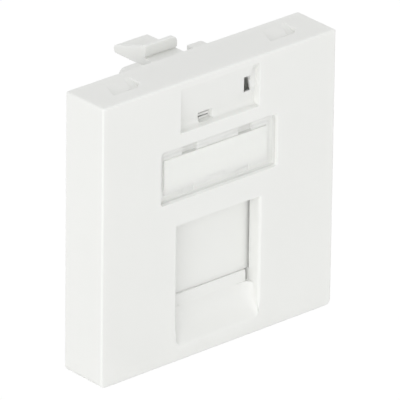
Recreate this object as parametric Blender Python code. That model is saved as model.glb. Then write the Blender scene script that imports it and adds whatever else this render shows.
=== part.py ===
"""Keystone module, 45 mm square, for a modular outlet frame.

A white moulded front housing holds a clear label window, a card, a spring-closed shutter and a rear carrier
with the keystone opening. Metres, +Z up. The front face looks along -Y and the module stands on its lower
edge. Sizes "down" are measured from the module's top edge, and sizes "back" from its front face.
"""

import math

import bmesh
import bpy
from mathutils import Vector

MM = 0.001

# Front housing
MODULE_SIDE = 45.0 * MM
BODY_DEPTH = 8.3 * MM
UPPER_CORNER_RADIUS = 0.35 * MM
LOWER_CORNER_RADIUS = 0.95 * MM
FRONT_EDGE_RADIUS = 0.3 * MM
SIDE_WALL = 1.6 * MM
CAVITY_CORNER_RADIUS = 0.5 * MM
PLATE = 2.4 * MM
RIB = 0.9 * MM

# Upper recess, the channel along its right side and the two slots in its ramp
RECESS_HALF_WIDTH = 7.6 * MM
RECESS_TOP = 1.15 * MM
RECESS_BOTTOM = 8.14 * MM
RECESS_DEPTH = 1.7 * MM
CHANNEL_WIDTH = 1.25 * MM
CHANNEL_DEPTH = 0.95 * MM
CHANNEL_RUN = 1.1 * MM
SLOT_LENGTH = 2.7 * MM
SLOT_WIDTH = 1.22 * MM
LEVEL_SLOT_X = -1.75 * MM
LEVEL_SLOT_DOWN = 7.28 * MM
LEVEL_SLOT_FLOOR = 2.0 * MM
SLIT_HEIGHT = 0.3 * MM
UPRIGHT_SLOT_X = 5.85 * MM
UPRIGHT_SLOT_DOWN = 4.35 * MM
RELIEF_FRONT = 1.45 * MM
RELIEF_MARGIN = 0.3 * MM
RELIEF_REACH = 0.7 * MM

# Label pocket, its cover and card
POCKET_HALF_WIDTH = 11.25 * MM
POCKET_TOP = 10.35 * MM
POCKET_HEIGHT = 8.5 * MM
POCKET_DEPTH = 1.5 * MM
POCKET_CORNER_RADIUS = 0.45 * MM
WINDOW_GAP = 0.2 * MM
WINDOW_PANE = 0.7 * MM
WINDOW_RIM = 0.95 * MM
WINDOW_RIM_BACK = 1.25 * MM
WINDOW_BEVEL = 0.3 * MM
LEG_X = 5.4 * MM
LEG_WIDTH = 2.2 * MM
LEG_THICKNESS = 0.6 * MM
LEG_INSET = 0.45 * MM
LEG_LEDGE = 0.3 * MM
LEG_SETBACK = 0.1 * MM
LEG_BARB = 0.15 * MM
LEG_BARB_LENGTH = 0.3 * MM
LEG_CLEARANCE = 0.2 * MM
BOSS_HALF_WIDTH = 1.65 * MM
BOSS_HEIGHT = 0.6 * MM
CARD_THICKNESS = 0.25 * MM
CARD_MARGIN = 0.15 * MM

# Port window and the finger scoop below it
PORT_HALF_WIDTH = 8.0 * MM
PORT_HEIGHT = 12.6 * MM
PORT_FOOT = 9.55 * MM
LIP_DEPTH = 2.3 * MM
LIP_HEIGHT = 1.85 * MM
LIP_NOTCH = 0.55 * MM
SCOOP_HEIGHT = 5.25 * MM
SCOOP_DISH = 0.35 * MM
SCOOP_FILLET = 1.0 * MM
SCOOP_BLOCK_DEPTH = 4.4 * MM
SCOOP_BLOCK_MARGIN = 1.2 * MM

# Shutter, its springs and its guides
CLEARANCE = 0.3 * MM
SHUTTER_HALF_WIDTH = 7.5 * MM
SHUTTER_LAP = 1.45 * MM
RUNNER_HALF_WIDTH = 8.4 * MM
RUNNER_THICKNESS = 1.65 * MM
EAR_HALF_WIDTH = 10.9 * MM
EAR_RISE = 2.45 * MM
EAR_HEIGHT = 1.5 * MM
EAR_THICKNESS = 1.5 * MM
SPRING_OUTER_RADIUS = 0.75 * MM
SPRING_WIRE_RADIUS = 0.12 * MM
SPRING_STOP = 7.7 * MM
SPRING_TURNS = 14
PEG_RADIUS = 0.36 * MM
PEG_LENGTH = 0.8 * MM

# Snap pockets in the top and bottom walls
SNAP_X = 15.15 * MM
SNAP_LENGTH = 5.8 * MM
SNAP_FRONT = 2.9 * MM
SNAP_WIDTH = 3.8 * MM
SNAP_DEPTH = 1.0 * MM
SNAP_NUB_RISE = 0.4 * MM
SNAP_LEAN = 1.5 * MM
SNAP_CORNER = 1.2 * MM
SNAP_HOLE = 0.8 * MM

# Rear carrier
FLANGE_HALF_WIDTH = 13.4 * MM
FLANGE_THICKNESS = 1.6 * MM
FLANGE_CORNER_RADIUS = 1.5 * MM
TOWER_HALF_WIDTH = 8.4 * MM
TOWER_TOP = 2.1 * MM
TOWER_REAR = 13.2 * MM
TOWER_CORNER_RADIUS = 1.2 * MM
TOWER_WALL = 1.4 * MM
KEYSTONE_HALF_WIDTH = 7.4 * MM
KEYSTONE_LAP = 1.95 * MM
KEYSTONE_HEIGHT = 16.2 * MM
LATCH_ROOM = 2.2 * MM
FOOT_ROOM = 1.2 * MM
SHELF = 1.1 * MM
INNER_CORNER_RADIUS = 0.4 * MM
HOOK_LENGTH = 4.0 * MM
HOOK_NOSE = 0.8 * MM
HOOK_POST = 1.0 * MM
HOOK_NOSE_THICKNESS = 0.9 * MM
HOOK_DOWNS_SHARES = (0.27, 0.73)

# Frame clip, at the top and at the bottom of the carrier
CLIP_HALF_WIDTH = 3.1 * MM
CLIP_SLOT = 1.7 * MM
CLIP_SLOT_LENGTH = 4.0 * MM
CLIP_LENGTH = 7.2 * MM
CLIP_THICKNESS = 1.4 * MM
CLIP_LIP_TOP = 0.12 * MM
CLIP_LIP_LENGTH = 1.5 * MM
CLIP_LIP_ROUND = 0.9 * MM
CLIP_TAIL_DROP = 0.1 * MM
CLIP_TAIL_ROUND = 0.6 * MM
CLIP_WEB = 0.9 * MM
CLIP_GROOVE = 0.25 * MM
CLIP_SETBACK = 0.1 * MM

# Modelling allowances
OVERRUN = 1.0 * MM
WELD = 0.2 * MM
ARC_STEPS = 5
EDGE_STEPS = 3
SCOOP_ROWS = 8
SCOOP_COLUMNS = 10
SCOOP_FILLET_STEPS = 4
SPRING_STEPS_PER_TURN = 14
SPRING_SIDES = 6
PEG_SIDES = 12

# Places worked out from the sizes above
CLIP_REAR = TOWER_REAR + CLIP_SETBACK + CLIP_LENGTH
FRONT_Y = -CLIP_REAR / 2
PORT_BOTTOM = MODULE_SIDE - PORT_FOOT
PORT_TOP = PORT_BOTTOM - PORT_HEIGHT
POCKET_BOTTOM = POCKET_TOP + POCKET_HEIGHT
SCOOP_TOP = PORT_BOTTOM + LIP_HEIGHT
SHUTTER_FRONT = PLATE + CLEARANCE
SHUTTER_TOP = PORT_TOP - SHUTTER_LAP
SHUTTER_BOTTOM = PORT_BOTTOM - CLEARANCE
SHUTTER_REAR = SHUTTER_FRONT + EAR_THICKNESS + CLEARANCE
EAR_FRONT = SHUTTER_REAR - EAR_THICKNESS
EAR_BOTTOM = SHUTTER_BOTTOM - EAR_RISE
EAR_TOP = EAR_BOTTOM - EAR_HEIGHT
GUIDE_REAR = SHUTTER_REAR
FLANGE_FRONT = GUIDE_REAR + CLEARANCE
FLANGE_REAR = FLANGE_FRONT + FLANGE_THICKNESS
TOWER_BOTTOM = MODULE_SIDE - TOWER_TOP
KEYSTONE_TOP = PORT_TOP - KEYSTONE_LAP
KEYSTONE_BOTTOM = KEYSTONE_TOP + KEYSTONE_HEIGHT
SPRING_X = (RUNNER_HALF_WIDTH + EAR_HALF_WIDTH) / 2
SPRING_BACK = (EAR_FRONT + SHUTTER_REAR) / 2
STOP_BOTTOM = SPRING_STOP + RIB
SPRING_TOP = STOP_BOTTOM + CLEARANCE
SPRING_BOTTOM = EAR_TOP - CLEARANCE
SPRING_LENGTH = SPRING_BOTTOM - SPRING_TOP
CLIP_FRONT = TOWER_REAR + CLIP_SETBACK


def back(distance):
    """The Y of a place this far behind the front face."""
    return FRONT_Y + distance


def down(distance):
    """The Z of a place this far under the module's top edge."""
    return MODULE_SIDE - distance


def plastic(name, colour, roughness, transmission=0.0, metallic=0.0):
    """A Principled material in one of the module's colours."""
    material = bpy.data.materials.new(name)
    material.use_nodes = True
    shader = material.node_tree.nodes["Principled BSDF"]
    shader.inputs["Base Color"].default_value = (*colour, 1.0)
    shader.inputs["Roughness"].default_value = roughness
    shader.inputs["Metallic"].default_value = metallic
    shader.inputs["Transmission Weight"].default_value = transmission
    material.diffuse_color = (*colour, 1.0)
    return material


def rounded_rectangle(left, right, bottom, top, lower, upper):
    """The outline between four sides with rounded lower and upper corners, from the lower right arc."""
    centres = (
        (right - lower, bottom + lower, -math.pi / 2, lower),
        (right - upper, top - upper, 0.0, upper),
        (left + upper, top - upper, math.pi / 2, upper),
        (left + lower, bottom + lower, math.pi, lower),
    )
    outline = []
    for centre_a, centre_b, start, radius in centres:
        for step in range(ARC_STEPS + 1):
            angle = start + math.pi / 2 * step / ARC_STEPS
            outline.append((centre_a + radius * math.cos(angle), centre_b + radius * math.sin(angle)))
    return outline


def panel(half_width, top, bottom, radius, inset=0.0, upper_radius=None):
    """The outline of an upright panel about the middle, between two distances down, drawn in by the inset."""
    reach = half_width - inset
    upper = radius if upper_radius is None else upper_radius
    return rounded_rectangle(-reach, reach, down(bottom - inset), down(top + inset), radius, upper)


def in_space(point, level, axis):
    """A point of an outline, placed at this level along the axis that the outline is drawn across."""
    first, second = point
    return {"X": (level, first, second), "Y": (first, level, second), "Z": (first, second, level)}[axis]


def solid_from(name, build):
    """An object from a function that fills a new mesh, with its faces turned outwards."""
    mesh = bpy.data.meshes.new(name)
    shape = bmesh.new()
    build(shape)
    bmesh.ops.recalc_face_normals(shape, faces=shape.faces)
    shape.to_mesh(mesh)
    shape.free()
    solid = bpy.data.objects.new(name, mesh)
    bpy.context.scene.collection.objects.link(solid)
    return solid


def loft(name, sections, axis):
    """A closed solid through outlines with as many points each, given as (level, outline)."""

    def build(shape):
        rings = [[shape.verts.new(in_space(p, level, axis)) for p in outline] for level, outline in sections]
        for ring, following in zip(rings, rings[1:]):
            count = len(ring)
            for i in range(count):
                j = (i + 1) % count
                shape.faces.new((ring[i], ring[j], following[j], following[i]))
        shape.faces.new(rings[0])
        shape.faces.new(rings[-1])

    return solid_from(name, build)


def prism(name, outline, low, high, axis):
    """A closed solid of one outline, drawn from the low to the high level."""
    return loft(name, [(low, outline), (high, outline)], axis)


def block(name, across, depth, heights):
    """A rectangular solid between two X values, two distances back and two distances down."""
    near, far = back(depth[0]), back(depth[1])
    outline = [(across[0], near), (across[1], near), (across[1], far), (across[0], far)]
    return prism(name, outline, down(heights[1]), down(heights[0]), "Z")


def rod(name, x, y, low, high, radius):
    """An upright round peg."""
    turns = (math.tau * step / PEG_SIDES for step in range(PEG_SIDES))
    outline = [(x + radius * math.cos(turn), y + radius * math.sin(turn)) for turn in turns]
    return prism(name, outline, low, high, "Z")


def combine(target, tools, operation):
    """Joins or cuts the tools into the target by exact Booleans, and removes them."""
    for tool in tools:
        step = target.modifiers.new(tool.name, "BOOLEAN")
        step.operation = operation
        step.solver = "EXACT"
        step.object = tool
        with bpy.context.temp_override(object=target, active_object=target):
            bpy.ops.object.modifier_apply(modifier=step.name)
        bpy.data.objects.remove(tool)
    return target


def join(target, *tools):
    """The target with the tools added to it."""
    return combine(target, tools, "UNION")


def cut(target, *tools):
    """The target with the tools taken out of it."""
    return combine(target, tools, "DIFFERENCE")


def mirrored(solid, name, axis):
    """A copy of a solid, mirrored across the module's middle along X or Z."""
    copy = solid.copy()
    copy.data = solid.data.copy()
    copy.name = name
    index = "XYZ".index(axis)
    middle = MODULE_SIDE / 2 if axis == "Z" else 0.0
    for vertex in copy.data.vertices:
        vertex.co[index] = 2 * middle - vertex.co[index]
    copy.data.flip_normals()
    bpy.context.scene.collection.objects.link(copy)
    return copy


def finish(solid, material, parent, origin):
    """Gives a piece its material, its origin and its parent, and smooth shading on its round faces."""
    origin = Vector(origin)
    for vertex in solid.data.vertices:
        vertex.co -= origin
    solid.location = origin
    solid.parent = parent
    solid.data.materials.clear()
    solid.data.materials.append(material)
    solid.data.shade_smooth()
    solid.data.set_sharp_from_angle(angle=math.radians(30))
    return solid


def side_pair(make):
    """What a function makes for the left side and for the right side, as one list."""
    return [piece for side in (-1, 1) for piece in make(side)]


def span(side, inner, outer):
    """Two X values in rising order, between these distances from the middle on one side."""
    return tuple(sorted((side * inner, side * outer)))


def housing_shell():
    """The square shell, rounded along its front edge, open at the rear."""
    half = MODULE_SIDE / 2
    sections = []
    for step in range(EDGE_STEPS + 1):
        angle = math.pi / 2 * step / EDGE_STEPS
        inset = FRONT_EDGE_RADIUS * (1 - math.sin(angle))
        level = back(FRONT_EDGE_RADIUS * (1 - math.cos(angle)))
        lower, upper = LOWER_CORNER_RADIUS - inset, UPPER_CORNER_RADIUS - inset
        sections.append((level, panel(half, 0, MODULE_SIDE, lower, inset, upper)))
    sections.append((back(BODY_DEPTH), sections[-1][1]))
    shell = loft("front_housing", sections, "Y")
    hollow = panel(half, 0, MODULE_SIDE, CAVITY_CORNER_RADIUS, SIDE_WALL)
    return cut(shell, prism("cavity", hollow, back(PLATE), back(BODY_DEPTH + OVERRUN), "Y"))


def recess_tools():
    """The ramped upper recess with its channel, its two slots and the relief behind the upright one."""
    ramp = [
        (back(0), down(RECESS_TOP)),
        (back(RECESS_DEPTH), down(RECESS_BOTTOM)),
        (back(-OVERRUN), down(RECESS_BOTTOM)),
        (back(-OVERRUN), down(RECESS_TOP)),
    ]
    recess = prism("recess", ramp, -RECESS_HALF_WIDTH, RECESS_HALF_WIDTH, "X")
    trough = [
        (back(0), down(RECESS_TOP)),
        (back(CHANNEL_DEPTH), down(RECESS_TOP + CHANNEL_RUN)),
        (back(CHANNEL_DEPTH), down(RECESS_BOTTOM)),
        (back(-OVERRUN), down(RECESS_BOTTOM)),
        (back(-OVERRUN), down(RECESS_TOP)),
    ]
    channel = prism("channel", trough, RECESS_HALF_WIDTH - CHANNEL_WIDTH, RECESS_HALF_WIDTH, "X")
    through = PLATE + OVERRUN
    slots = []
    for name, x, middle, width, height, floor in (
        ("level_slot", LEVEL_SLOT_X, LEVEL_SLOT_DOWN, SLOT_LENGTH, SLOT_WIDTH, LEVEL_SLOT_FLOOR),
        ("slit", LEVEL_SLOT_X, LEVEL_SLOT_DOWN, SLOT_LENGTH - WELD, SLIT_HEIGHT, through),
        ("upright_slot", UPRIGHT_SLOT_X, UPRIGHT_SLOT_DOWN, SLOT_WIDTH, SLOT_LENGTH, through),
    ):
        across = (x - width / 2, x + width / 2)
        heights = (middle - height / 2, middle + height / 2)
        slots.append(block(name, across, (-OVERRUN, floor), heights))
    left = UPRIGHT_SLOT_X - SLOT_WIDTH / 2 - RELIEF_MARGIN
    reach = SLOT_LENGTH / 2 + RELIEF_MARGIN
    relief = block(
        "relief",
        (left, RECESS_HALF_WIDTH + RELIEF_REACH),
        (RELIEF_FRONT, through),
        (UPRIGHT_SLOT_DOWN - reach, UPRIGHT_SLOT_DOWN + reach),
    )
    return [recess, channel, *slots, relief]


def leg_places():
    """The X, the outer edge's distance down and the outward direction of each of the window's four legs."""
    for x in (-LEG_X, LEG_X):
        yield x, POCKET_TOP + LEG_INSET, -1
        yield x, POCKET_BOTTOM - LEG_INSET, 1


def pocket_tools():
    """The label pocket, with a stepped slot for each leg of its cover."""
    outline = panel(POCKET_HALF_WIDTH, POCKET_TOP, POCKET_BOTTOM, POCKET_CORNER_RADIUS)
    tools = [prism("pocket", outline, back(-OVERRUN), back(POCKET_DEPTH), "Y")]
    for x, edge, outward in leg_places():
        reach = LEG_WIDTH / 2 + LEG_CLEARANCE
        across = (x - reach, x + reach)
        inner = edge - outward * (LEG_THICKNESS + LEG_CLEARANCE)
        outer = edge + outward * LEG_CLEARANCE
        catch = outer + outward * LEG_BARB
        through = (POCKET_DEPTH - WELD, PLATE + OVERRUN)
        behind = (POCKET_DEPTH + LEG_LEDGE, PLATE + OVERRUN)
        tools.append(block("leg_slot", across, through, sorted((inner, outer))))
        tools.append(block("leg_catch", across, behind, sorted((inner, catch))))
    return tools


def scoop_depth(x, share):
    """How deep the finger scoop is at this X and this share of the way down, with its side fillets."""
    dish = SCOOP_DISH * math.sin(math.pi * share) * (1 - (x / PORT_HALF_WIDTH) ** 2)
    floor = LIP_DEPTH * (1 - share ** 2) + dish
    radius = min(SCOOP_FILLET, floor)
    rise = min(max(abs(x) - PORT_HALF_WIDTH + radius, 0.0), radius)
    return floor - radius + math.sqrt(radius ** 2 - rise ** 2)


def scoop_columns():
    """The X values of the scoop's grid: even between the fillets, and closer towards the sides in them."""
    flat = PORT_HALF_WIDTH - SCOOP_FILLET
    middle = [flat * (2 * c / SCOOP_COLUMNS - 1) for c in range(SCOOP_COLUMNS + 1)]
    turns = [math.pi / 2 * (s + 1) / SCOOP_FILLET_STEPS for s in range(SCOOP_FILLET_STEPS)]
    right = [flat + SCOOP_FILLET * math.sin(turn) for turn in turns]
    return [-x for x in reversed(right)] + middle + right


def scoop_tool():
    """What the finger scoop leaves open: a dished ramp that runs out at its lower edge."""

    def build(shape):
        grid = []
        for row in range(SCOOP_ROWS + 1):
            share = row / SCOOP_ROWS
            level = down(SCOOP_TOP + SCOOP_HEIGHT * share)
            points = [(x, back(scoop_depth(x, share))) for x in scoop_columns()]
            points += [(PORT_HALF_WIDTH, back(-OVERRUN)), (-PORT_HALF_WIDTH, back(-OVERRUN))]
            grid.append([shape.verts.new((x, y, level)) for x, y in points])
        for upper, lower in zip(grid, grid[1:]):
            count = len(upper)
            for i in range(count):
                j = (i + 1) % count
                shape.faces.new((upper[i], upper[j], lower[j], lower[i]))
        shape.faces.new(grid[0])
        shape.faces.new(grid[-1])

    return solid_from("scoop", build)


def port_tools():
    """The port window, the lip's face, the scoop below it and the two notches at the ends of the lip."""
    across = (-PORT_HALF_WIDTH, PORT_HALF_WIDTH)
    tools = [
        block("port", across, (-OVERRUN, PLATE + OVERRUN), (PORT_TOP, PORT_BOTTOM)),
        block("lip_face", across, (-OVERRUN, LIP_DEPTH), (PORT_BOTTOM - WELD, SCOOP_TOP)),
        scoop_tool(),
    ]
    for side in (-1, 1):
        notch = span(side, PORT_HALF_WIDTH - LIP_NOTCH, PORT_HALF_WIDTH)
        depth = (LIP_DEPTH - WELD, SCOOP_BLOCK_DEPTH + OVERRUN)
        tools.append(block("lip_notch", notch, depth, (PORT_BOTTOM - WELD, SCOOP_TOP)))
    return tools


def snap_tools():
    """The snap pockets in the top wall: leaning ramps that deepen forwards, a higher nub and a small hole."""
    tools = []
    turn = SNAP_FRONT + SNAP_CORNER
    rear = SNAP_FRONT + SNAP_WIDTH
    turn_lean = SNAP_LEAN * SNAP_CORNER / SNAP_WIDTH
    for middle in (-SNAP_X, SNAP_X):
        left, right = middle - SNAP_LENGTH / 2, middle + SNAP_LENGTH / 2
        step = middle + SNAP_HOLE
        nub = [(SNAP_FRONT, left, step + WELD), (rear, left + SNAP_LEAN, step + SNAP_LEAN + WELD)]
        well = [
            (SNAP_FRONT, step, right - SNAP_CORNER),
            (turn, step + turn_lean, right),
            (rear, step + SNAP_LEAN, right),
        ]
        for plan, depth in ((nub, SNAP_DEPTH - SNAP_NUB_RISE), (well, SNAP_DEPTH)):
            sections = []
            for place, low, high in plan:
                mouth = down(-OVERRUN)
                floor = down(depth * (rear - place) / SNAP_WIDTH)
                sections.append((back(place), [(low, mouth), (high, mouth), (high, floor), (low, floor)]))
            tools.append(loft("snap", sections, "Y"))
        hole = (step - SNAP_HOLE / 2, step + SNAP_HOLE / 2)
        through = (-OVERRUN, SIDE_WALL + OVERRUN)
        tools.append(block("snap_hole", hole, (SNAP_FRONT, SNAP_FRONT + SNAP_HOLE), through))
    return tools


def guide_ribs(side):
    """One side's shutter guide, spring stop and foot stop, and the peg that holds the spring's upper end."""
    depth = (PLATE - WELD, GUIDE_REAR)
    inner = RUNNER_HALF_WIDTH + CLEARANCE
    outer = EAR_HALF_WIDTH + CLEARANCE
    foot_top = EAR_BOTTOM + CLEARANCE
    peg_foot = SPRING_TOP + PEG_LENGTH
    peg_root = STOP_BOTTOM - WELD
    return [
        block("spring_stop", span(side, inner, outer + WELD), depth, (SPRING_STOP, STOP_BOTTOM)),
        block("guide_rail", span(side, outer, outer + RIB), depth, (SPRING_STOP, foot_top + RIB)),
        block("foot_stop", span(side, inner, outer + WELD), depth, (foot_top, foot_top + RIB)),
        rod("stop_peg", side * SPRING_X, back(SPRING_BACK), down(peg_foot), down(peg_root), PEG_RADIUS),
    ]


def hook(side):
    """One side's two snap hooks, which hold the carrier's flange from behind."""
    root = FLANGE_HALF_WIDTH + CLEARANCE
    nose_front = back(FLANGE_REAR + CLEARANCE)
    nose_rear = back(FLANGE_REAR + CLEARANCE + HOOK_NOSE_THICKNESS)
    outline = [
        (side * root, back(PLATE - WELD)),
        (side * (root + HOOK_POST), back(PLATE - WELD)),
        (side * (root + HOOK_POST), nose_rear),
        (side * root, nose_rear),
        (side * (root - HOOK_NOSE), nose_front),
        (side * root, nose_front),
    ]
    pieces = []
    for share in HOOK_DOWNS_SHARES:
        middle = down(MODULE_SIDE * share)
        pieces.append(prism("hook", outline, middle - HOOK_LENGTH / 2, middle + HOOK_LENGTH / 2, "Z"))
    return pieces


def front_housing():
    """The square front moulding with all its recesses, guides and hooks."""
    housing = housing_shell()
    reach = PORT_HALF_WIDTH + SCOOP_BLOCK_MARGIN
    floor = MODULE_SIDE - SIDE_WALL + WELD
    depth = (PLATE - WELD, SCOOP_BLOCK_DEPTH)
    scoop_block = block("scoop_block", (-reach, reach), depth, (PORT_BOTTOM, floor))
    join(housing, scoop_block, *side_pair(guide_ribs), *side_pair(hook))
    cut(housing, *recess_tools(), *pocket_tools(), *port_tools())
    top = snap_tools()
    bottom = [mirrored(tool, tool.name, "Z") for tool in top]
    return cut(housing, *top, *bottom)


def label_window():
    """The clear cover: a bevelled pane with four barbed legs and two bosses, one at each long edge."""
    half_width = POCKET_HALF_WIDTH - WINDOW_GAP
    top, bottom = POCKET_TOP + WINDOW_GAP, POCKET_BOTTOM - WINDOW_GAP
    sections = []
    for level, inset in ((0, WINDOW_BEVEL), (WINDOW_BEVEL, 0), (WINDOW_RIM_BACK, 0)):
        sections.append((back(level), panel(half_width, top, bottom, POCKET_CORNER_RADIUS, inset)))
    window = loft("label_window", sections, "Y")
    inner = panel(half_width, top, bottom, POCKET_CORNER_RADIUS, WINDOW_RIM)
    cut(window, prism("tray", inner, back(WINDOW_PANE), back(WINDOW_RIM_BACK + OVERRUN), "Y"))
    tip = PLATE - LEG_SETBACK
    pieces = []
    for x, edge, outward in leg_places():
        across = (x - LEG_WIDTH / 2, x + LEG_WIDTH / 2)
        inner = edge - outward * LEG_THICKNESS
        barb = edge + outward * LEG_BARB
        pieces.append(block("leg", across, (WINDOW_PANE - WELD, tip), sorted((inner, edge))))
        pieces.append(block("barb", across, (tip - LEG_BARB_LENGTH, tip), sorted((inner, barb))))
    across = (-BOSS_HALF_WIDTH, BOSS_HALF_WIDTH)
    depth = (WINDOW_PANE - WELD, WINDOW_RIM_BACK)
    for edge, inward in ((top + WINDOW_RIM, 1), (bottom - WINDOW_RIM, -1)):
        heights = sorted((edge - inward * WELD, edge + inward * BOSS_HEIGHT))
        pieces.append(block("boss", across, depth, heights))
    return join(window, *pieces)


def label_card():
    """The card strip behind the cover, between its legs."""
    inset = WINDOW_GAP + WINDOW_RIM + CARD_MARGIN
    half_width = POCKET_HALF_WIDTH - inset
    margin = inset + BOSS_HEIGHT
    rear = WINDOW_PANE + CARD_MARGIN + CARD_THICKNESS
    return block(
        "label_card",
        (-half_width, half_width),
        (rear - CARD_THICKNESS, rear),
        (POCKET_TOP + margin, POCKET_BOTTOM - margin),
    )


def shutter():
    """The sliding door: a plate that slopes back to a runner along each side, and an ear for each spring."""
    edge = back(SHUTTER_REAR - RUNNER_THICKNESS)
    outline = [
        (-RUNNER_HALF_WIDTH, back(SHUTTER_REAR)),
        (-RUNNER_HALF_WIDTH, edge),
        (-SHUTTER_HALF_WIDTH, back(SHUTTER_FRONT)),
        (SHUTTER_HALF_WIDTH, back(SHUTTER_FRONT)),
        (RUNNER_HALF_WIDTH, edge),
        (RUNNER_HALF_WIDTH, back(SHUTTER_REAR)),
    ]
    door = prism("shutter", outline, down(SHUTTER_BOTTOM), down(SHUTTER_TOP), "Z")
    ears = block("ears", (-EAR_HALF_WIDTH, EAR_HALF_WIDTH), (EAR_FRONT, SHUTTER_REAR), (EAR_TOP, EAR_BOTTOM))
    low, high = down(EAR_TOP + WELD), down(SPRING_BOTTOM - PEG_LENGTH)
    pegs = [rod("ear_peg", side * SPRING_X, back(SPRING_BACK), low, high, PEG_RADIUS) for side in (-1, 1)]
    return join(door, ears, *pegs)


def shutter_spring(side, name):
    """One compression spring, from the shutter's ear up to the stop."""
    centre_x, centre_y = side * SPRING_X, back(SPRING_BACK)
    coil_radius = SPRING_OUTER_RADIUS - SPRING_WIRE_RADIUS
    bottom = down(SPRING_BOTTOM) + SPRING_WIRE_RADIUS
    rise = SPRING_LENGTH - 2 * SPRING_WIRE_RADIUS
    steps = SPRING_TURNS * SPRING_STEPS_PER_TURN

    def ring(shape, share):
        turn = math.tau * SPRING_TURNS * share
        outward = Vector((math.cos(turn), math.sin(turn), 0.0))
        centre = Vector((centre_x, centre_y, bottom + rise * share)) + outward * coil_radius
        points = []
        for corner in range(SPRING_SIDES):
            angle = math.tau * corner / SPRING_SIDES
            offset = outward * math.cos(angle) + Vector((0.0, 0.0, 1.0)) * math.sin(angle)
            points.append(shape.verts.new(centre + offset * SPRING_WIRE_RADIUS))
        return points

    def build(shape):
        rings = [ring(shape, step / steps) for step in range(steps + 1)]
        for here, following in zip(rings, rings[1:]):
            for i in range(SPRING_SIDES):
                j = (i + 1) % SPRING_SIDES
                shape.faces.new((here[i], here[j], following[j], following[i]))
        shape.faces.new(rings[0])
        shape.faces.new(rings[-1])

    return solid_from(name, build)


def clip_lip():
    """The clip's catch lip: upright in front, sloping behind, square at one end and rounded at the other."""
    underside = TOWER_TOP + CLIP_THICKNESS
    slope = CLIP_LIP_LENGTH / 2
    sections = []
    centre_x = CLIP_HALF_WIDTH - CLIP_LIP_ROUND
    turns = [math.pi / 2 * step / ARC_STEPS for step in range(ARC_STEPS + 1)]
    for depth, drop in ((0, 0), (slope, 0), (CLIP_LIP_LENGTH, slope)):
        top = down(CLIP_LIP_TOP + drop)
        centre_z = top - CLIP_LIP_ROUND
        outline = [(-CLIP_HALF_WIDTH, top), (-CLIP_HALF_WIDTH, down(underside))]
        outline.append((CLIP_HALF_WIDTH, down(underside)))
        outline += [
            (centre_x + CLIP_LIP_ROUND * math.cos(turn), centre_z + CLIP_LIP_ROUND * math.sin(turn))
            for turn in turns
        ]
        sections.append((back(CLIP_FRONT + depth), outline))
    return loft("clip_lip", sections, "Y")


def frame_clip():
    """The top frame clip: a tongue behind the tower with a catch lip, and a sloping web along one side."""
    underside = TOWER_TOP + CLIP_THICKNESS
    tail_top = TOWER_TOP + CLIP_TAIL_DROP
    tail_start = CLIP_REAR - CLIP_TAIL_ROUND
    root = TOWER_REAR - TOWER_WALL
    turns = [math.pi / 2 * step / ARC_STEPS for step in range(ARC_STEPS + 1)]
    arc = [(CLIP_TAIL_ROUND * math.sin(turn), CLIP_TAIL_ROUND * (1 - math.cos(turn))) for turn in turns]
    tongue = [(back(root), down(TOWER_TOP)), (back(CLIP_FRONT + CLIP_LIP_LENGTH), down(TOWER_TOP))]
    tongue += [(back(tail_start + run), down(tail_top + drop)) for run, drop in arc]
    tongue += [(back(tail_start + run), down(underside - drop)) for run, drop in reversed(arc)]
    tongue.append((back(root), down(underside)))
    clip = prism("frame_clip", tongue, -CLIP_HALF_WIDTH, CLIP_HALF_WIDTH, "X")
    ramp = [
        (back(CLIP_FRONT + CLIP_GROOVE), down(underside)),
        (back(CLIP_FRONT + CLIP_GROOVE), down(CLIP_LIP_TOP)),
        (back(tail_start), down(tail_top)),
        (back(tail_start), down(underside)),
    ]
    join(clip, clip_lip(), prism("clip_web", ramp, -CLIP_HALF_WIDTH, CLIP_WEB - CLIP_HALF_WIDTH, "X"))
    everywhere = (-CLIP_HALF_WIDTH - OVERRUN, CLIP_HALF_WIDTH + OVERRUN)
    depth = (CLIP_FRONT - OVERRUN, CLIP_FRONT + CLIP_GROOVE)
    return cut(clip, block("groove", everywhere, depth, (TOWER_TOP - CLIP_GROOVE, TOWER_TOP)))


def tower_tools():
    """The hollows of the tower behind the flange, and the keystone opening through the flange."""
    chamber_top = KEYSTONE_TOP - LATCH_ROOM
    chamber_bottom = KEYSTONE_BOTTOM + FOOT_ROOM
    behind = (back(FLANGE_REAR), back(TOWER_REAR + OVERRUN))
    hollows = (
        (TOWER_TOP + TOWER_WALL, chamber_top - SHELF),
        (chamber_top, chamber_bottom),
        (chamber_bottom + SHELF, TOWER_BOTTOM - TOWER_WALL),
    )
    tools = []
    for top, bottom in hollows:
        outline = panel(KEYSTONE_HALF_WIDTH, top, bottom, INNER_CORNER_RADIUS)
        tools.append(prism("hollow", outline, *behind, "Y"))
    opening = panel(KEYSTONE_HALF_WIDTH, KEYSTONE_TOP, KEYSTONE_BOTTOM, INNER_CORNER_RADIUS)
    through = (back(FLANGE_FRONT - OVERRUN), back(FLANGE_REAR + WELD))
    tools.append(prism("keystone_opening", opening, *through, "Y"))
    return tools


def clip_slots(side):
    """The relief slots beside the top clip's tongue on one side."""
    across = span(side, CLIP_HALF_WIDTH, CLIP_HALF_WIDTH + CLIP_SLOT)
    depth = (TOWER_REAR - CLIP_SLOT_LENGTH, TOWER_REAR + OVERRUN)
    return [block("clip_slot", across, depth, (0, TOWER_TOP + TOWER_WALL + WELD))]


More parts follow.
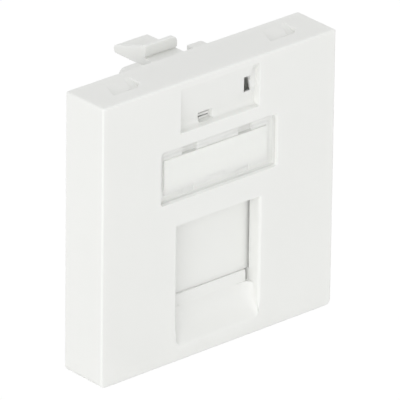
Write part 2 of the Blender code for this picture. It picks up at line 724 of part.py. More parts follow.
def rear_carrier():
    """The moulding behind the housing: a flange, a hollow tower, the keystone opening and two clips."""
    flange = panel(FLANGE_HALF_WIDTH, TOWER_TOP, TOWER_BOTTOM, FLANGE_CORNER_RADIUS)
    tower = panel(TOWER_HALF_WIDTH, TOWER_TOP, TOWER_BOTTOM, TOWER_CORNER_RADIUS)
    carrier = prism("rear_carrier", flange, back(FLANGE_FRONT), back(FLANGE_REAR), "Y")
    join(carrier, prism("tower", tower, back(FLANGE_REAR - WELD), back(TOWER_REAR), "Y"))
    slots = side_pair(clip_slots)
    lower_slots = [mirrored(slot, slot.name, "Z") for slot in slots]
    cut(carrier, *tower_tools(), *slots, *lower_slots)
    clip = frame_clip()
    lower_clip = mirrored(clip, "lower_clip", "Z")
    return join(carrier, clip, lower_clip)


def main():
    """Clears the scene and builds the module."""
    for leftover in list(bpy.data.objects):
        bpy.data.objects.remove(leftover)
    white = plastic("white_plastic", (0.86, 0.86, 0.845), 0.42)
    clear = plastic("clear_plastic", (0.96, 0.97, 0.97), 0.06, transmission=0.9)
    paper = plastic("white_card", (0.9, 0.9, 0.88), 0.85)
    steel = plastic("spring_steel", (0.62, 0.62, 0.63), 0.28, metallic=1.0)
    module = bpy.data.objects.new("keystone_module", None)
    bpy.context.scene.collection.objects.link(module)
    middle = (0.0, 0.0, MODULE_SIDE / 2)
    label_middle = down((POCKET_TOP + POCKET_BOTTOM) / 2)
    shutter_middle = down((SHUTTER_TOP + SHUTTER_BOTTOM) / 2)
    finish(front_housing(), white, module, middle)
    finish(rear_carrier(), white, module, middle)
    finish(label_window(), clear, module, (0.0, back(0), label_middle))
    finish(label_card(), paper, module, (0.0, back(WINDOW_PANE), label_middle))
    finish(shutter(), white, module, (0.0, back(SHUTTER_FRONT), shutter_middle))
    for side, name in ((-1, "shutter_spring_left"), (1, "shutter_spring_right")):
        spring_top = (side * SPRING_X, back(SPRING_BACK), down(SPRING_TOP))
        finish(shutter_spring(side, name), steel, module, spring_top)


main()
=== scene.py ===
"""Dresses the 45 mm keystone module for its product picture: pieces, finishes, floor, light and camera.

Places on the module are written as it is measured, in millimetres: across (X, from the middle), depth
(behind the front face) and down (below the upper edge). The size fields of the pieces are millimetres too.
"""

import logging
import math
from dataclasses import dataclass
from enum import Enum
from typing import Callable, Iterable

import bmesh
import bpy
from mathutils import Matrix, Vector


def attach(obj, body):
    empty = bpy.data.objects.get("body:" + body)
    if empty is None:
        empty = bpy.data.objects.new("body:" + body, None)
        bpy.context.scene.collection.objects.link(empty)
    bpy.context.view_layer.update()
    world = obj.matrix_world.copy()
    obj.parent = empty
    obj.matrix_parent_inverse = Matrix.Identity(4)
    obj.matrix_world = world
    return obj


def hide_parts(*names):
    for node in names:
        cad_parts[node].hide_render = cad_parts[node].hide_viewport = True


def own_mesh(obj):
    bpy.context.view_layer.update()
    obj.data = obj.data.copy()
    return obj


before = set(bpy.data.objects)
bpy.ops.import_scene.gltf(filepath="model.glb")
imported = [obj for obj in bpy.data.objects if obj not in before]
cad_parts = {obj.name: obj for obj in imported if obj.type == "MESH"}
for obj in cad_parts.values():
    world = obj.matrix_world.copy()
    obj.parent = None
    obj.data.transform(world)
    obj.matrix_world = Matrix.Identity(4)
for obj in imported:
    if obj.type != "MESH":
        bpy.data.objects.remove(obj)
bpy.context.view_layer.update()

MM = 0.001
SIDE = 45.0
DEPTH = 20.5

# How far a cutting tool runs past a face, and how far joined shapes reach into each other.
BEYOND = 1.0
WELD = 0.2
# How near a corner has to be to count as lying at a place.
CLOSE = WELD / 2
NEAR = WELD / 4
# A step too small to see, which keeps faces from meeting exactly.
SKIN = 0.005
# Corners nearer than this are merged, and their coordinates in metres are rounded to so many places.
MERGE = 0.001
TRUE_PLACES = 8
# Bends in degrees: less is flat, less is a facet of a round, less is a crisp edge and no rounded one.
FLAT_ANGLE = 0.2
CRISP_ANGLE = 10.0
ROUND_ANGLE = 38.0
# Facets in a quarter turn, and in the small rounds that soften a finished piece.
ARC_FACETS = 12
SOFT_FACETS = 3
# The part of a noise pattern's range that its ends are stretched from.
PATTERN = (0.3, 0.7)
log = logging.getLogger("keystone_module")

Span = tuple[float, float]
Place = tuple[float, float, float]
Triple = tuple[float, float, float]


class Axis(Enum):
    """The three ways across the module, each with its index in a place."""

    ACROSS = 0
    DEPTH = 1
    DOWN = 2


class Operation(Enum):
    """What a Boolean does with its tool."""

    JOIN = "UNION"
    CUT = "DIFFERENCE"


def spot(across: float, depth: float, down: float) -> Vector:
    """Turns a place on the module into a point in the row frame.

    Args:
        across: Millimetres right of the middle.
        depth: Millimetres behind the front face.
        down: Millimetres below the upper edge.

    Returns:
        The point, in metres.
    """
    return Vector((across, depth - DEPTH / 2, SIDE - down)) * MM


def place_of(point: Vector) -> Place:
    """Turns a point in the row frame back into a place on the module, in millimetres."""
    return point.x / MM, point.y / MM + DEPTH / 2, SIDE - point.z / MM


def sided(side: int, inner: float, outer: float) -> Span:
    """Two X values in rising order, between these distances from the middle on one side."""
    return tuple(sorted((side * inner, side * outer)))


def about(middle: float, width: float) -> Span:
    """The span of this width about a middle."""
    return middle - width / 2, middle + width / 2


def runs_back(ends: list[Place], length: float) -> bool:
    """Whether the two ends of an edge lie more than a length apart in depth."""
    return abs(ends[0][1] - ends[1][1]) > length


def towards(azimuth: float, elevation: float) -> Vector:
    """The way from the module to a camera or lamp at these angles in degrees; 0, 0 faces the front."""
    turn, lift = math.radians(azimuth), math.radians(elevation)
    return Vector((math.sin(turn) * math.cos(lift), -math.cos(turn) * math.cos(lift), math.sin(lift)))


def calculate(
    tree: bpy.types.NodeTree, operation: str, *inputs: bpy.types.NodeSocket | float
) -> bpy.types.NodeSocket:
    """Adds a sum to a node tree.

    Args:
        tree: The node tree.
        operation: The Math node's operation.
        inputs: What it works on: sockets or plain numbers.

    Returns:
        The result's socket.
    """
    node = tree.nodes.new("ShaderNodeMath")
    node.operation = operation
    for socket, value in zip(node.inputs, inputs):
        if isinstance(value, bpy.types.NodeSocket):
            tree.links.new(value, socket)
        else:
            socket.default_value = value
    return node.outputs["Value"]


def blend(
    tree: bpy.types.NodeTree,
    share: bpy.types.NodeSocket,
    first: bpy.types.NodeSocket,
    second: bpy.types.NodeSocket,
) -> bpy.types.NodeSocket:
    """Adds a mix of two shaders to a node tree.

    Args:
        tree: The node tree.
        share: How much of the second shader shows.
        first: The shader where the share is 0.
        second: The shader where it is 1.

    Returns:
        The mixed shader's socket.
    """
    mix = tree.nodes.new("ShaderNodeMixShader")
    for value, socket in zip((share, first, second), mix.inputs):
        tree.links.new(value, socket)
    return mix.outputs["Shader"]


class Bench:
    """Blender's modelling operators, used on one mesh object at a time."""

    @staticmethod
    def pick(piece: bpy.types.Object) -> None:
        """Makes a piece the only selected object, and the active one."""
        bpy.ops.object.select_all(action="DESELECT")
        piece.select_set(True)
        bpy.context.view_layer.objects.active = piece

    @staticmethod
    def enter(piece: bpy.types.Object) -> None:
        """Enters edit mode with the whole of one piece selected."""
        Bench.pick(piece)
        bpy.ops.object.mode_set(mode="EDIT")
        bpy.ops.mesh.select_all(action="SELECT")

    @staticmethod
    def settle(piece: bpy.types.Object, name: str) -> bpy.types.Object:
        """Names a new primitive and moves its place, turn and size into its mesh."""
        piece.name = name
        piece.data.name = name
        Bench.pick(piece)
        bpy.ops.object.transform_apply(location=True, rotation=True, scale=True)
        return Bench.true_up(piece)

    @staticmethod
    def true_up(piece: bpy.types.Object) -> bpy.types.Object:
        """Puts every corner on a ten-nanometre grid, so that faces meant to be level are exactly level."""
        for vertex in piece.data.vertices:
            vertex.co = [round(value, TRUE_PLACES) for value in vertex.co]
        piece.data.update()
        return piece

    @staticmethod
    def block(name: str, across: Span, depth: Span, down: Span) -> bpy.types.Object:
        """Adds a cube that fills three spans.

        Args:
            name: The new object's name.
            across: The lowest and highest X.
            depth: The nearest and furthest distance behind the front face.
            down: The upper and lower distance below the upper edge.

        Returns:
            The cube, with its place in its mesh.
        """
        low = spot(across[0], depth[0], down[1])
        high = spot(across[1], depth[1], down[0])
        bpy.ops.object.select_all(action="DESELECT")
        bpy.ops.mesh.primitive_cube_add(size=1.0, location=(low + high) / 2, scale=high - low)
        return Bench.settle(bpy.context.active_object, name)

    @staticmethod
    def rod(name: str, start: Place, end: Place, radius: float, sides: int = 24) -> bpy.types.Object:
        """Adds an upright cylinder between two places that lie one above the other.

        Args:
            name: The new object's name.
            start: The upper end's place.
            end: The lower end's place.
            radius: The radius in millimetres.
            sides: How many sides it has.

        Returns:
            The cylinder, with its place in its mesh.
        """
        top, foot = spot(*start), spot(*end)
        bpy.ops.object.select_all(action="DESELECT")
        bpy.ops.mesh.primitive_cylinder_add(
            vertices=sides, radius=radius * MM, depth=(top - foot).length, location=(top + foot) / 2
        )
        return Bench.settle(bpy.context.active_object, name)

    @staticmethod
    def select(piece: bpy.types.Object, kind: str, test: Callable[[list[Place]], bool]) -> None:
        """Selects parts of a mesh by where their corners are, and stays in edit mode.

        Args:
            piece: The mesh object.
            kind: VERT, EDGE or FACE.
            test: Says from a part's corner places whether it is selected.
        """
        Bench.pick(piece)
        bpy.ops.object.mode_set(mode="EDIT")
        bpy.ops.mesh.select_mode(type=kind)
        bpy.ops.mesh.select_all(action="DESELECT")
        shape = bmesh.from_edit_mesh(piece.data)
        parts = {"VERT": shape.verts, "EDGE": shape.edges, "FACE": shape.faces}[kind]
        for part in parts:
            corners = [part] if kind == "VERT" else part.verts
            if test([place_of(corner.co) for corner in corners]):
                part.select_set(True)
        bmesh.update_edit_mesh(piece.data)

    @staticmethod
    def leave(piece: bpy.types.Object) -> bpy.types.Object:
        """Leaves edit mode, with the corners trued up."""
        bpy.ops.object.mode_set(mode="OBJECT")
        return Bench.true_up(piece)

    @staticmethod
    def round_edges(
        piece: bpy.types.Object, test: Callable[[list[Place]], bool], radius: float, segments: int
    ) -> bpy.types.Object:
        """Bevels the edges that pass a test.

        Args:
            piece: The mesh object.
            test: Says from an edge's two end places whether it is rounded.
            radius: The radius in millimetres.
            segments: How many facets the round gets.

        Returns:
            The piece.
        """
        Bench.select(piece, "EDGE", test)
        bpy.ops.mesh.bevel(offset=radius * MM, offset_type="OFFSET", segments=segments, affect="EDGES")
        return Bench.leave(piece)

    @staticmethod
    def shift(piece: bpy.types.Object, test: Callable[[list[Place]], bool], by: Place) -> bpy.types.Object:
        """Moves the corners that pass a test.

        Args:
            piece: The mesh object.
            test: Says from a corner's place, in a list of one, whether it moves.
            by: How far it moves across, back and down, in millimetres.

        Returns:
            The piece.
        """
        Bench.select(piece, "VERT", test)
        bpy.ops.transform.translate(value=Vector((by[0], by[1], -by[2])) * MM)
        return Bench.leave(piece)

    @staticmethod
    def combine(piece: bpy.types.Object, operation: Operation, *tools: bpy.types.Object) -> bpy.types.Object:
        """Joins tools to a piece or cuts them out of it, and removes them.

        Args:
            piece: The mesh object that is changed.
            operation: Join or cut.
            tools: Closed mesh objects.

        Returns:
            The piece.
        """
        for tool in tools:
            Bench.pick(piece)
            bpy.ops.object.modifier_add(type="BOOLEAN")
            step = piece.modifiers[-1]
            step.operation = operation.value
            step.solver = "EXACT"
            step.object = tool
            bpy.ops.object.modifier_apply(modifier=step.name)
            bpy.data.objects.remove(tool)
            Bench.enter(piece)
            bpy.ops.mesh.remove_doubles(threshold=MERGE * MM)
            Bench.leave(piece)
        return piece

    @staticmethod
    def slice(piece: bpy.types.Object, point: Vector, axis: Axis) -> bpy.types.Object:
        """Cuts new edges into a piece where a plane across an axis crosses it.

        Args:
            piece: The mesh object.
            point: A point of the plane, in metres.
            axis: The way that the plane lies across.

        Returns:
            The piece.
        """
        Bench.enter(piece)
        facing = [0.0, 0.0, 0.0]
        facing[axis.value] = 1.0
        bpy.ops.mesh.bisect(plane_co=point, plane_no=facing)
        return Bench.leave(piece)

    @staticmethod
    def halve(piece: bpy.types.Object, depth: float) -> bpy.types.Object:
        """Divides the flat faces at a depth down the middle, so that no edge slants between openings.

        Args:
            piece: The piece with all its openings cut.
            depth: Where the faces lie, in millimetres behind the front face.

        Returns:
            The piece, with the dividing edges marked as a seam.
        """
        Bench.select(piece, "FACE", lambda corners: all(abs(at[1] - depth) < NEAR for at in corners))
        bpy.ops.mesh.bisect(plane_co=spot(0.0, 0.0, 0.0), plane_no=(1.0, 0.0, 0.0))
        Bench.leave(piece)
        Bench.select(
            piece, "EDGE", lambda ends: all(abs(at[0]) + abs(at[1] - depth) < NEAR for at in ends)
        )
        bpy.ops.mesh.mark_seam()
        return Bench.leave(piece)

    @staticmethod
    def select_bends(piece: bpy.types.Object, test: Callable[[float], bool]) -> None:
        """Selects the edges of the mesh in edit mode by their bend.

        Args:
            piece: The mesh object, in edit mode.
            test: Says from an edge's bend in degrees, below zero where it is hollow, whether it is selected.
        """
        bpy.ops.mesh.select_all(action="DESELECT")
        shape = bmesh.from_edit_mesh(piece.data)
        for edge in shape.edges:
            edge.select_set(test(math.degrees(edge.calc_face_angle_signed(0.0))))
        bmesh.update_edit_mesh(piece.data)

    @staticmethod
    def soften(piece: bpy.types.Object, radius: float) -> bpy.types.Object:
        """Rounds every sharp outer edge of a finished piece as a mould does, and shades it.

        Edges that bend less, and inner edges, stay crisp. Facets of rounds bend less than either, and
        are shaded smooth. Flat edges go, apart from seams.

        Args:
            piece: The mesh object.
            radius: The edge radius in millimetres.

        Returns:
            The piece.
        """
        Bench.pick(piece)
        bpy.ops.object.mode_set(mode="EDIT")
        bpy.ops.mesh.select_mode(type="EDGE")
        bpy.ops.mesh.select_all(action="SELECT")
        bpy.ops.mesh.dissolve_limited(angle_limit=math.radians(FLAT_ANGLE), delimit={"SEAM"})
        Bench.select_bends(piece, lambda bend: bend < -CRISP_ANGLE or CRISP_ANGLE < bend <= ROUND_ANGLE)
        bpy.ops.mesh.mark_sharp()
        Bench.select_bends(piece, lambda bend: bend > ROUND_ANGLE)
        bpy.ops.mesh.bevel(
            offset=radius * MM,
            offset_type="OFFSET",
            segments=SOFT_FACETS,
            affect="EDGES",
            clamp_overlap=False,
        )
        Bench.select_bends(piece, lambda bend: abs(bend) > ROUND_ANGLE)
        bpy.ops.mesh.mark_sharp()
        bpy.ops.object.mode_set(mode="OBJECT")
        bpy.ops.object.shade_smooth(keep_sharp_edges=True)
        bpy.ops.object.modifier_add(type="WEIGHTED_NORMAL")
        step = piece.modifiers[-1]
        step.keep_sharp = True
        step.weight = 100
        bpy.ops.object.modifier_apply(modifier=step.name)
        return piece

    @staticmethod
    def mirrored(piece: bpy.types.Object, name: str, axis: Axis) -> bpy.types.Object:
        """Copies a piece to the other side of the module's middle, across or from top to bottom.

        Args:
            piece: The mesh object that is copied.
            name: The copy's name.
            axis: Axis.ACROSS or Axis.DOWN.

        Returns:
            The copy, with a mesh of its own.
        """
        Bench.pick(piece)
        bpy.ops.object.duplicate(linked=False)
        copy = bpy.context.active_object
        copy.name = name
        copy.data.name = name
        middle = spot(0.0, 0.0, SIDE / 2)
        Bench.enter(copy)
        scale = (-1.0, 1.0, 1.0) if axis is Axis.ACROSS else (1.0, 1.0, -1.0)
        bpy.ops.transform.resize(value=scale, center_override=middle)
        bpy.ops.mesh.normals_make_consistent(inside=False)
        return Bench.leave(copy)


@dataclass(frozen=True)
class MouldedPlastic:
    """Satin white moulded plastic with a fine spark-eroded grain and the faintest unevenness of tone."""

    name: str = "moulded_white"
    colour: Triple = (0.863, 0.868, 0.846)
    shade: float = 0.988
    roughness: Span = (0.38, 0.47)
    refraction: float = 1.5
    gloss: float = 0.42
    grain_per_m: float = 5200.0
    grain_depth: float = 0.000004
    mottle_per_m: float = 90.0
    milk: float = 0.35
    milk_reach: float = 0.0011

    def material(self) -> bpy.types.Material:
        """Builds the material: mottled colour, uneven roughness, a grain bump and some milky depth."""
        finish = NodeFinish(self.name)
        shader = finish.shader
        shader.inputs["Subsurface Weight"].default_value = self.milk
        shader.inputs["Subsurface Radius"].default_value = (1.0, 1.0, 1.0)
        shader.inputs["Subsurface Scale"].default_value = self.milk_reach
        shader.inputs["IOR"].default_value = self.refraction
        shader.inputs["Specular IOR Level"].default_value = self.gloss
        finish.tone(finish.noise(self.mottle_per_m, detail=4.0), self.colour, self.shade)
        grain = finish.noise(self.grain_per_m, detail=3.0)
        finish.roughness(grain, self.roughness)
        finish.bump(grain, self.grain_depth)
        return finish.material


@dataclass(frozen=True)
class ClearPlastic:
    """Polished clear plastic with faint flow waves."""

    name: str = "clear_window"
    colour: Triple = (0.985, 0.99, 0.99)
    shade: float = 0.99
    roughness: Span = (0.03, 0.048)
    refraction: float = 1.49
    thinness: float = 0.95
    edge_thinness: float = 0.86
    passing: float = 0.995
    wave_per_m: float = 160.0
    wave_depth: float = 0.000004

    def material(self) -> bpy.types.Material:
        """Builds the material: a clear sheet, glossier at its edges, faintly uneven, and no bar to light."""
        finish = NodeFinish(self.name)
        shader = finish.shader
        shader.inputs["IOR"].default_value = self.refraction
        shader.inputs["Transmission Weight"].default_value = 1.0
        wave = finish.noise(self.wave_per_m, detail=1.0)
        finish.tone(wave, self.colour, self.shade)
        finish.roughness(wave, self.roughness)
        finish.bump(wave, self.wave_depth)
        finish.let_light_through(self.passing, self.thinness, self.edge_thinness)
        return finish.material


@dataclass(frozen=True)
class CardPaper:
    """Matte white card with short fibres."""

    name: str = "white_label_card"
    colour: Triple = (0.9, 0.91, 0.88)
    shade: float = 0.965
    roughness: Span = (0.75, 0.85)
    fibre_per_m: float = 2600.0
    fibre_depth: float = 0.000012

    def material(self) -> bpy.types.Material:
        """Builds the material: fibres that show in tone, roughness and relief."""
        finish = NodeFinish(self.name)
        fibre = finish.noise(self.fibre_per_m, detail=6.0, stretch=(1.0, 1.0, 3.5))
        finish.tone(fibre, self.colour, self.shade)
        finish.roughness(fibre, self.roughness)
        finish.bump(fibre, self.fibre_depth)
        return finish.material


@dataclass(frozen=True)
class SpringWire:
    """Bright drawn spring steel, with fine lines along the draw."""

    name: str = "bright_spring_wire"
    colour: Triple = (0.62, 0.62, 0.63)
    shade: float = 0.8
    roughness: Span = (0.25, 0.4)
    line_per_m: float = 9000.0
    line_depth: float = 0.000002

    def material(self) -> bpy.types.Material:
        """Builds the material: metal with drawn lines."""
        finish = NodeFinish(self.name)
        finish.shader.inputs["Metallic"].default_value = 1.0
        lines = finish.noise(self.line_per_m, detail=2.0, stretch=(1.0, 1.0, 0.15))
        finish.tone(lines, self.colour, self.shade)
        finish.roughness(lines, self.roughness)
        finish.bump(lines, self.line_depth)
        return finish.material


class NodeFinish:
    """A Principled material under construction, with patterns read from Object coordinates."""

    NOISE_ROUGHNESS = 0.6
    BUMP_STRENGTH = 0.35
    FACING = (0.5, 0.98)

    def __init__(self, name: str) -> None:
        """Starts a material.

        Args:
            name: The material's name.
        """
        self.material: bpy.types.Material = bpy.data.materials.new(name)
        self.material.use_nodes = True
        self.tree = self.material.node_tree
        self.shader = self.tree.nodes["Principled BSDF"]
        self.coordinates = self.tree.nodes.new("ShaderNodeTexCoord")

    def noise(
        self, per_metre: float, detail: float, stretch: Triple = (1.0, 1.0, 1.0)
    ) -> bpy.types.NodeSocket:
        """Adds a noise pattern.

        Args:
            per_metre: How many features fit in a metre.
            detail: How many finer octaves it has.
            stretch: How much the pattern is pressed together along X, Y and Z.

        Returns:
            The noise's value socket.
        """
        mapping = self.tree.nodes.new("ShaderNodeMapping")
        mapping.inputs["Scale"].default_value = stretch
        self.tree.links.new(self.coordinates.outputs["Object"], mapping.inputs["Vector"])
        noise = self.tree.nodes.new("ShaderNodeTexNoise")
        noise.inputs["Scale"].default_value = per_metre
        noise.inputs["Detail"].default_value = detail
        noise.inputs["Roughness"].default_value = self.NOISE_ROUGHNESS
        self.tree.links.new(mapping.outputs["Vector"], noise.inputs["Vector"])
        return noise.outputs["Fac"]

    def tone(self, pattern: bpy.types.NodeSocket, colour: Triple, shade: float) -> None:
        """Drives the base colour from a pattern.

        Args:
            pattern: The pattern's value socket.
            colour: The colour where the pattern is bright.
            shade: How bright it is where the pattern is dark, as a share of that.
        """
        ramp = self.tree.nodes.new("ShaderNodeValToRGB")
        for stop, place, strength in zip(ramp.color_ramp.elements, PATTERN, (shade, 1.0)):
            stop.position = place
            stop.color = (*(value * strength for value in colour), 1.0)
        self.tree.links.new(pattern, ramp.inputs["Fac"])
        self.tree.links.new(ramp.outputs["Color"], self.shader.inputs["Base Color"])

    def spread(self, pattern: bpy.types.NodeSocket, taken: Span, given: Span) -> bpy.types.NodeSocket:
        """Stretches one span of a value to another, and holds it there.

        Args:
            pattern: The value's socket.
            taken: The span of the value that is stretched.
            given: The span that it is stretched to.

        Returns:
            The new value's socket.
        """
        node = self.tree.nodes.new("ShaderNodeMapRange")
        for name, value in zip(("From Min", "From Max", "To Min", "To Max"), (*taken, *given)):
            node.inputs[name].default_value = value
        self.tree.links.new(pattern, node.inputs["Value"])
        return node.outputs["Result"]

    def roughness(self, pattern: bpy.types.NodeSocket, span: Span) -> None:
        """Drives the roughness from a pattern.

        Args:
            pattern: The pattern's value socket.
            span: The roughness where the pattern is dark, and where it is bright.
        """
        self.tree.links.new(self.spread(pattern, PATTERN, span), self.shader.inputs["Roughness"])

    def bump(self, pattern: bpy.types.NodeSocket, height: float) -> None:
        """Raises the surface by a pattern.

        Args:
            pattern: The pattern's value socket.
            height: The relief's height in metres.
        """
        bump = self.tree.nodes.new("ShaderNodeBump")
        bump.inputs["Strength"].default_value = self.BUMP_STRENGTH
        bump.inputs["Distance"].default_value = height
        self.tree.links.new(pattern, bump.inputs["Height"])
        self.tree.links.new(bump.outputs["Normal"], self.shader.inputs["Normal"])

    def let_light_through(self, passing: float, thinness: float, edge_thinness: float) -> None:
        """Makes the finish plainly transparent to shadow rays and to light between matt surfaces.

        Args:
            passing: The share of such light that passes.
            thinness: How far other rays pass straight through the front as well, as in a thin sheet.
            edge_thinness: The same at the faces that stand upright to the front.
        """
        path = self.tree.nodes.new("ShaderNodeLightPath").outputs
        either = calculate(self.tree, "MAXIMUM", path["Is Shadow Ray"], path["Is Diffuse Ray"])
        surface = self.tree.nodes.new("ShaderNodeNewGeometry")
        parts = self.tree.nodes.new("ShaderNodeSeparateXYZ")
        self.tree.links.new(surface.outputs["Normal"], parts.inputs["Vector"])
        facing = calculate(self.tree, "ABSOLUTE", parts.outputs["Y"])
        sheet = self.spread(facing, self.FACING, (edge_thinness, thinness))
        clear = self.tree.nodes.new("ShaderNodeBsdfTransparent")
        clear.inputs["Color"].default_value = (passing, passing, passing, 1.0)
        share = calculate(self.tree, "MAXIMUM", either, sheet)
        mixed = blend(self.tree, share, self.shader.outputs["BSDF"], clear.outputs["BSDF"])
        self.tree.links.new(mixed, self.tree.nodes["Material Output"].inputs["Surface"])


def dress(piece: bpy.types.Object, material: bpy.types.Material, body: str, slot: str, *nodes: str) -> None:
    """Gives a finished piece its material and its body, and hides the CAD nodes it stands for.

    Args:
        piece: The finished mesh object.
        material: Its only material.
        body: The CAD body that it rides on.
        slot: The name of a material slot; not used.
        nodes: The CAD nodes that it replaces.
    """
    piece.data.materials.clear()
    piece.data.materials.append(material)
    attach(piece, body)
    if nodes:
        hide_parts(*nodes)
    log.info("%s: %d faces on body %s", piece.name, len(piece.data.polygons), body)


@dataclass
class FrontHousing:
    """The square front moulding: recess, label pocket, port, finger scoop, snap pockets and guides."""

    body_depth: float = 8.3
    upper_corner_radius: float = 0.35
    lower_corner_radius: float = 0.95
    front_edge_radius: float = 0.3
    cavity_corner: float = 0.5
    wall: float = 1.6
    plate: float = 2.4
    edge_radius: float = 0.1
    recess_across: Span = (-7.6, 7.6)
    recess_down: Span = (1.15, 8.14)
    recess_depth: float = 1.7
    recess_fillet: float = 1.1
    channel_width: float = 1.25
    channel_depth: float = 0.95
    channel_run: float = 1.1
    slot_length: float = 2.7
    slot_width: float = 1.22
    level_slot_x: float = -1.75
    level_slot_down: Span = (6.62, 8.05)
    level_slot_floor: float = 2.1
    slits: tuple[Span, Span] = ((7.12, 7.2), (7.62, 7.76))
    upright_slot: Span = (5.85, 4.35)
    upright_slot_lean: float = 0.55
    relief_front: float = 1.45
    relief_margin: float = 0.3
    relief_reach: float = 0.7
    pocket_half_width: float = 11.25
    pocket_down: Span = (10.35, 18.85)
    pocket_depth: float = 1.2
    pocket_corner: float = 0.45
    leg_x: float = 5.4
    leg_slot_width: float = 2.8
    leg_slot_inset: float = 0.25
    leg_slot_heights: Span = (1.7, 1.0)
    leg_slot_floors: Span = (1.8, 1.35)
    leg_slot_shifts: Span = (0.55, 0.0)
    port_half_width: float = 8.0
    port_down: Span = (22.85, 35.45)
    lip_depth: float = 2.3
    lip_height: float = 1.85
    lip_notch: float = 0.55
    scoop_height: float = 5.25
    lip_slope: float = 0.6
    lip_end_round: float = 0.35
    port_round: float = 0.5
    scoop_dish: float = 0.35
    scoop_fillet: float = 1.3
    scoop_fillet_share: float = 0.65
    scoop_round_share: float = 0.3
    scoop_spread: float = 2.4
    scoop_corner: float = 1.0
    scoop_run_out: float = 0.5
    scoop_ease: float = 0.15
    scoop_skim: float = 0.02
    scoop_block_depth: float = 4.4
    scoop_block_margin: float = 1.2
    scoop_rows: int = 44
    scoop_columns: int = 24
    snap_x: float = 15.15
    snap_length: float = 5.8
    snap_depth_span: Span = (2.9, 6.7)
    snap_sink: float = 1.0
    snap_nub: float = 0.4
    snap_lean: float = 1.5
    snap_corner: float = 1.2
    snap_hole: float = 0.8
    guide_inner: float = 8.7
    guide_outer: float = 11.2
    guide_rear: float = 4.5
    rib: float = 0.9
    spring_stop: float = 7.7
    foot_down: float = 33.0
    peg_x: float = 9.65
    peg_depth: float = 3.75
    peg_radius: float = 0.36
    peg_length: float = 0.8
    hook_root: float = 13.7
    hook_post: float = 1.0
    hook_nose: float = 0.8
    hook_nose_depth: Span = (6.7, 7.6)
    hook_length: float = 4.0
    hook_downs: Span = (12.15, 32.85)

    def shell(self) -> bpy.types.Object:
        """Models the rounded square shell, open at the rear."""
        half = SIDE / 2
        shell = Bench.block("housing_shell", (-half, half), (0.0, self.body_depth), (0.0, SIDE))
        for radius, level in ((self.upper_corner_radius, 0.0), (self.lower_corner_radius, SIDE)):
            Bench.round_edges(
                shell,
                lambda ends: runs_back(ends, self.wall) and abs(ends[0][2] - level) < WELD,
                radius,
                ARC_FACETS,
            )
        Bench.round_edges(
            shell,
            lambda ends: all(abs(end[1]) < CLOSE for end in ends),
            self.front_edge_radius,
            ARC_FACETS,
        )
        reach = half - self.wall
        cavity = Bench.block(
            "cavity", (-reach, reach), (self.plate, self.body_depth + BEYOND), (self.wall, SIDE - self.wall)
        )
        Bench.round_edges(cavity, lambda ends: runs_back(ends, self.wall), self.cavity_corner, ARC_FACETS)
        return Bench.combine(shell, Operation.CUT, cavity)

    def guides(self) -> list[bpy.types.Object]:
        """Models the block behind the scoop, the shutter's guides, stops and pegs, and the carrier hooks."""
        reach = self.port_half_width + self.scoop_block_margin
        floor = SIDE - self.wall + WELD
        depth = (self.plate - WELD, self.guide_rear)
        behind = (self.plate - WELD, self.scoop_block_depth)
        parts = [Bench.block("scoop_block", (-reach, reach), behind, (self.port_down[1], floor))]
        stop = (self.spring_stop, self.spring_stop + self.rib)
        foot = (self.foot_down, self.foot_down + self.rib)
        for side in (-1, 1):
            outer = self.guide_outer + self.rib
            rail = Bench.block("guide", sided(side, self.guide_inner, outer), depth, (stop[0], foot[1]))
            room = sided(side, self.guide_inner - BEYOND, self.guide_outer)
            deep = (depth[0] - BEYOND, depth[1] + BEYOND)
            parts += [
                Bench.combine(
                    rail, Operation.CUT, Bench.block("guide_room", room, deep, (stop[1], foot[0]))
                ),
                Bench.rod(
                    "peg",
                    (side * self.peg_x, self.peg_depth, stop[1] - WELD),
                    (side * self.peg_x, self.peg_depth, stop[1] + self.peg_length),
                    self.peg_radius,
                ),
            ]
            parts += [self.hook(side, middle) for middle in self.hook_downs]
        return parts

    def hook(self, side: int, middle: float) -> bpy.types.Object:
        """Models one hook that holds the carrier's flange.

        Args:
            side: -1 for the left side, 1 for the right.
            middle: How far down its middle is.

        Returns:
            The hook: a post with a nose that slants inwards.
        """
        near, rear = self.hook_nose_depth
        inner = self.hook_root - self.hook_nose
        span = about(middle, self.hook_length)
        across = sided(side, inner, self.hook_root + self.hook_post)
        hook = Bench.block("hook", across, (self.plate - WELD, rear), span)
        under = (self.plate - WELD - BEYOND, near)
        wide = (span[0] - BEYOND, span[1] + BEYOND)
        room = Bench.block("hook_room", sided(side, inner - BEYOND, self.hook_root), under, wide)
        Bench.combine(hook, Operation.CUT, room)
        edge = side * inner
        return Bench.shift(
            hook,
            lambda at: abs(at[0][0] - edge) < CLOSE and abs(at[0][1] - rear) < CLOSE,
            (side * self.hook_nose, 0.0, 0.0),
        )

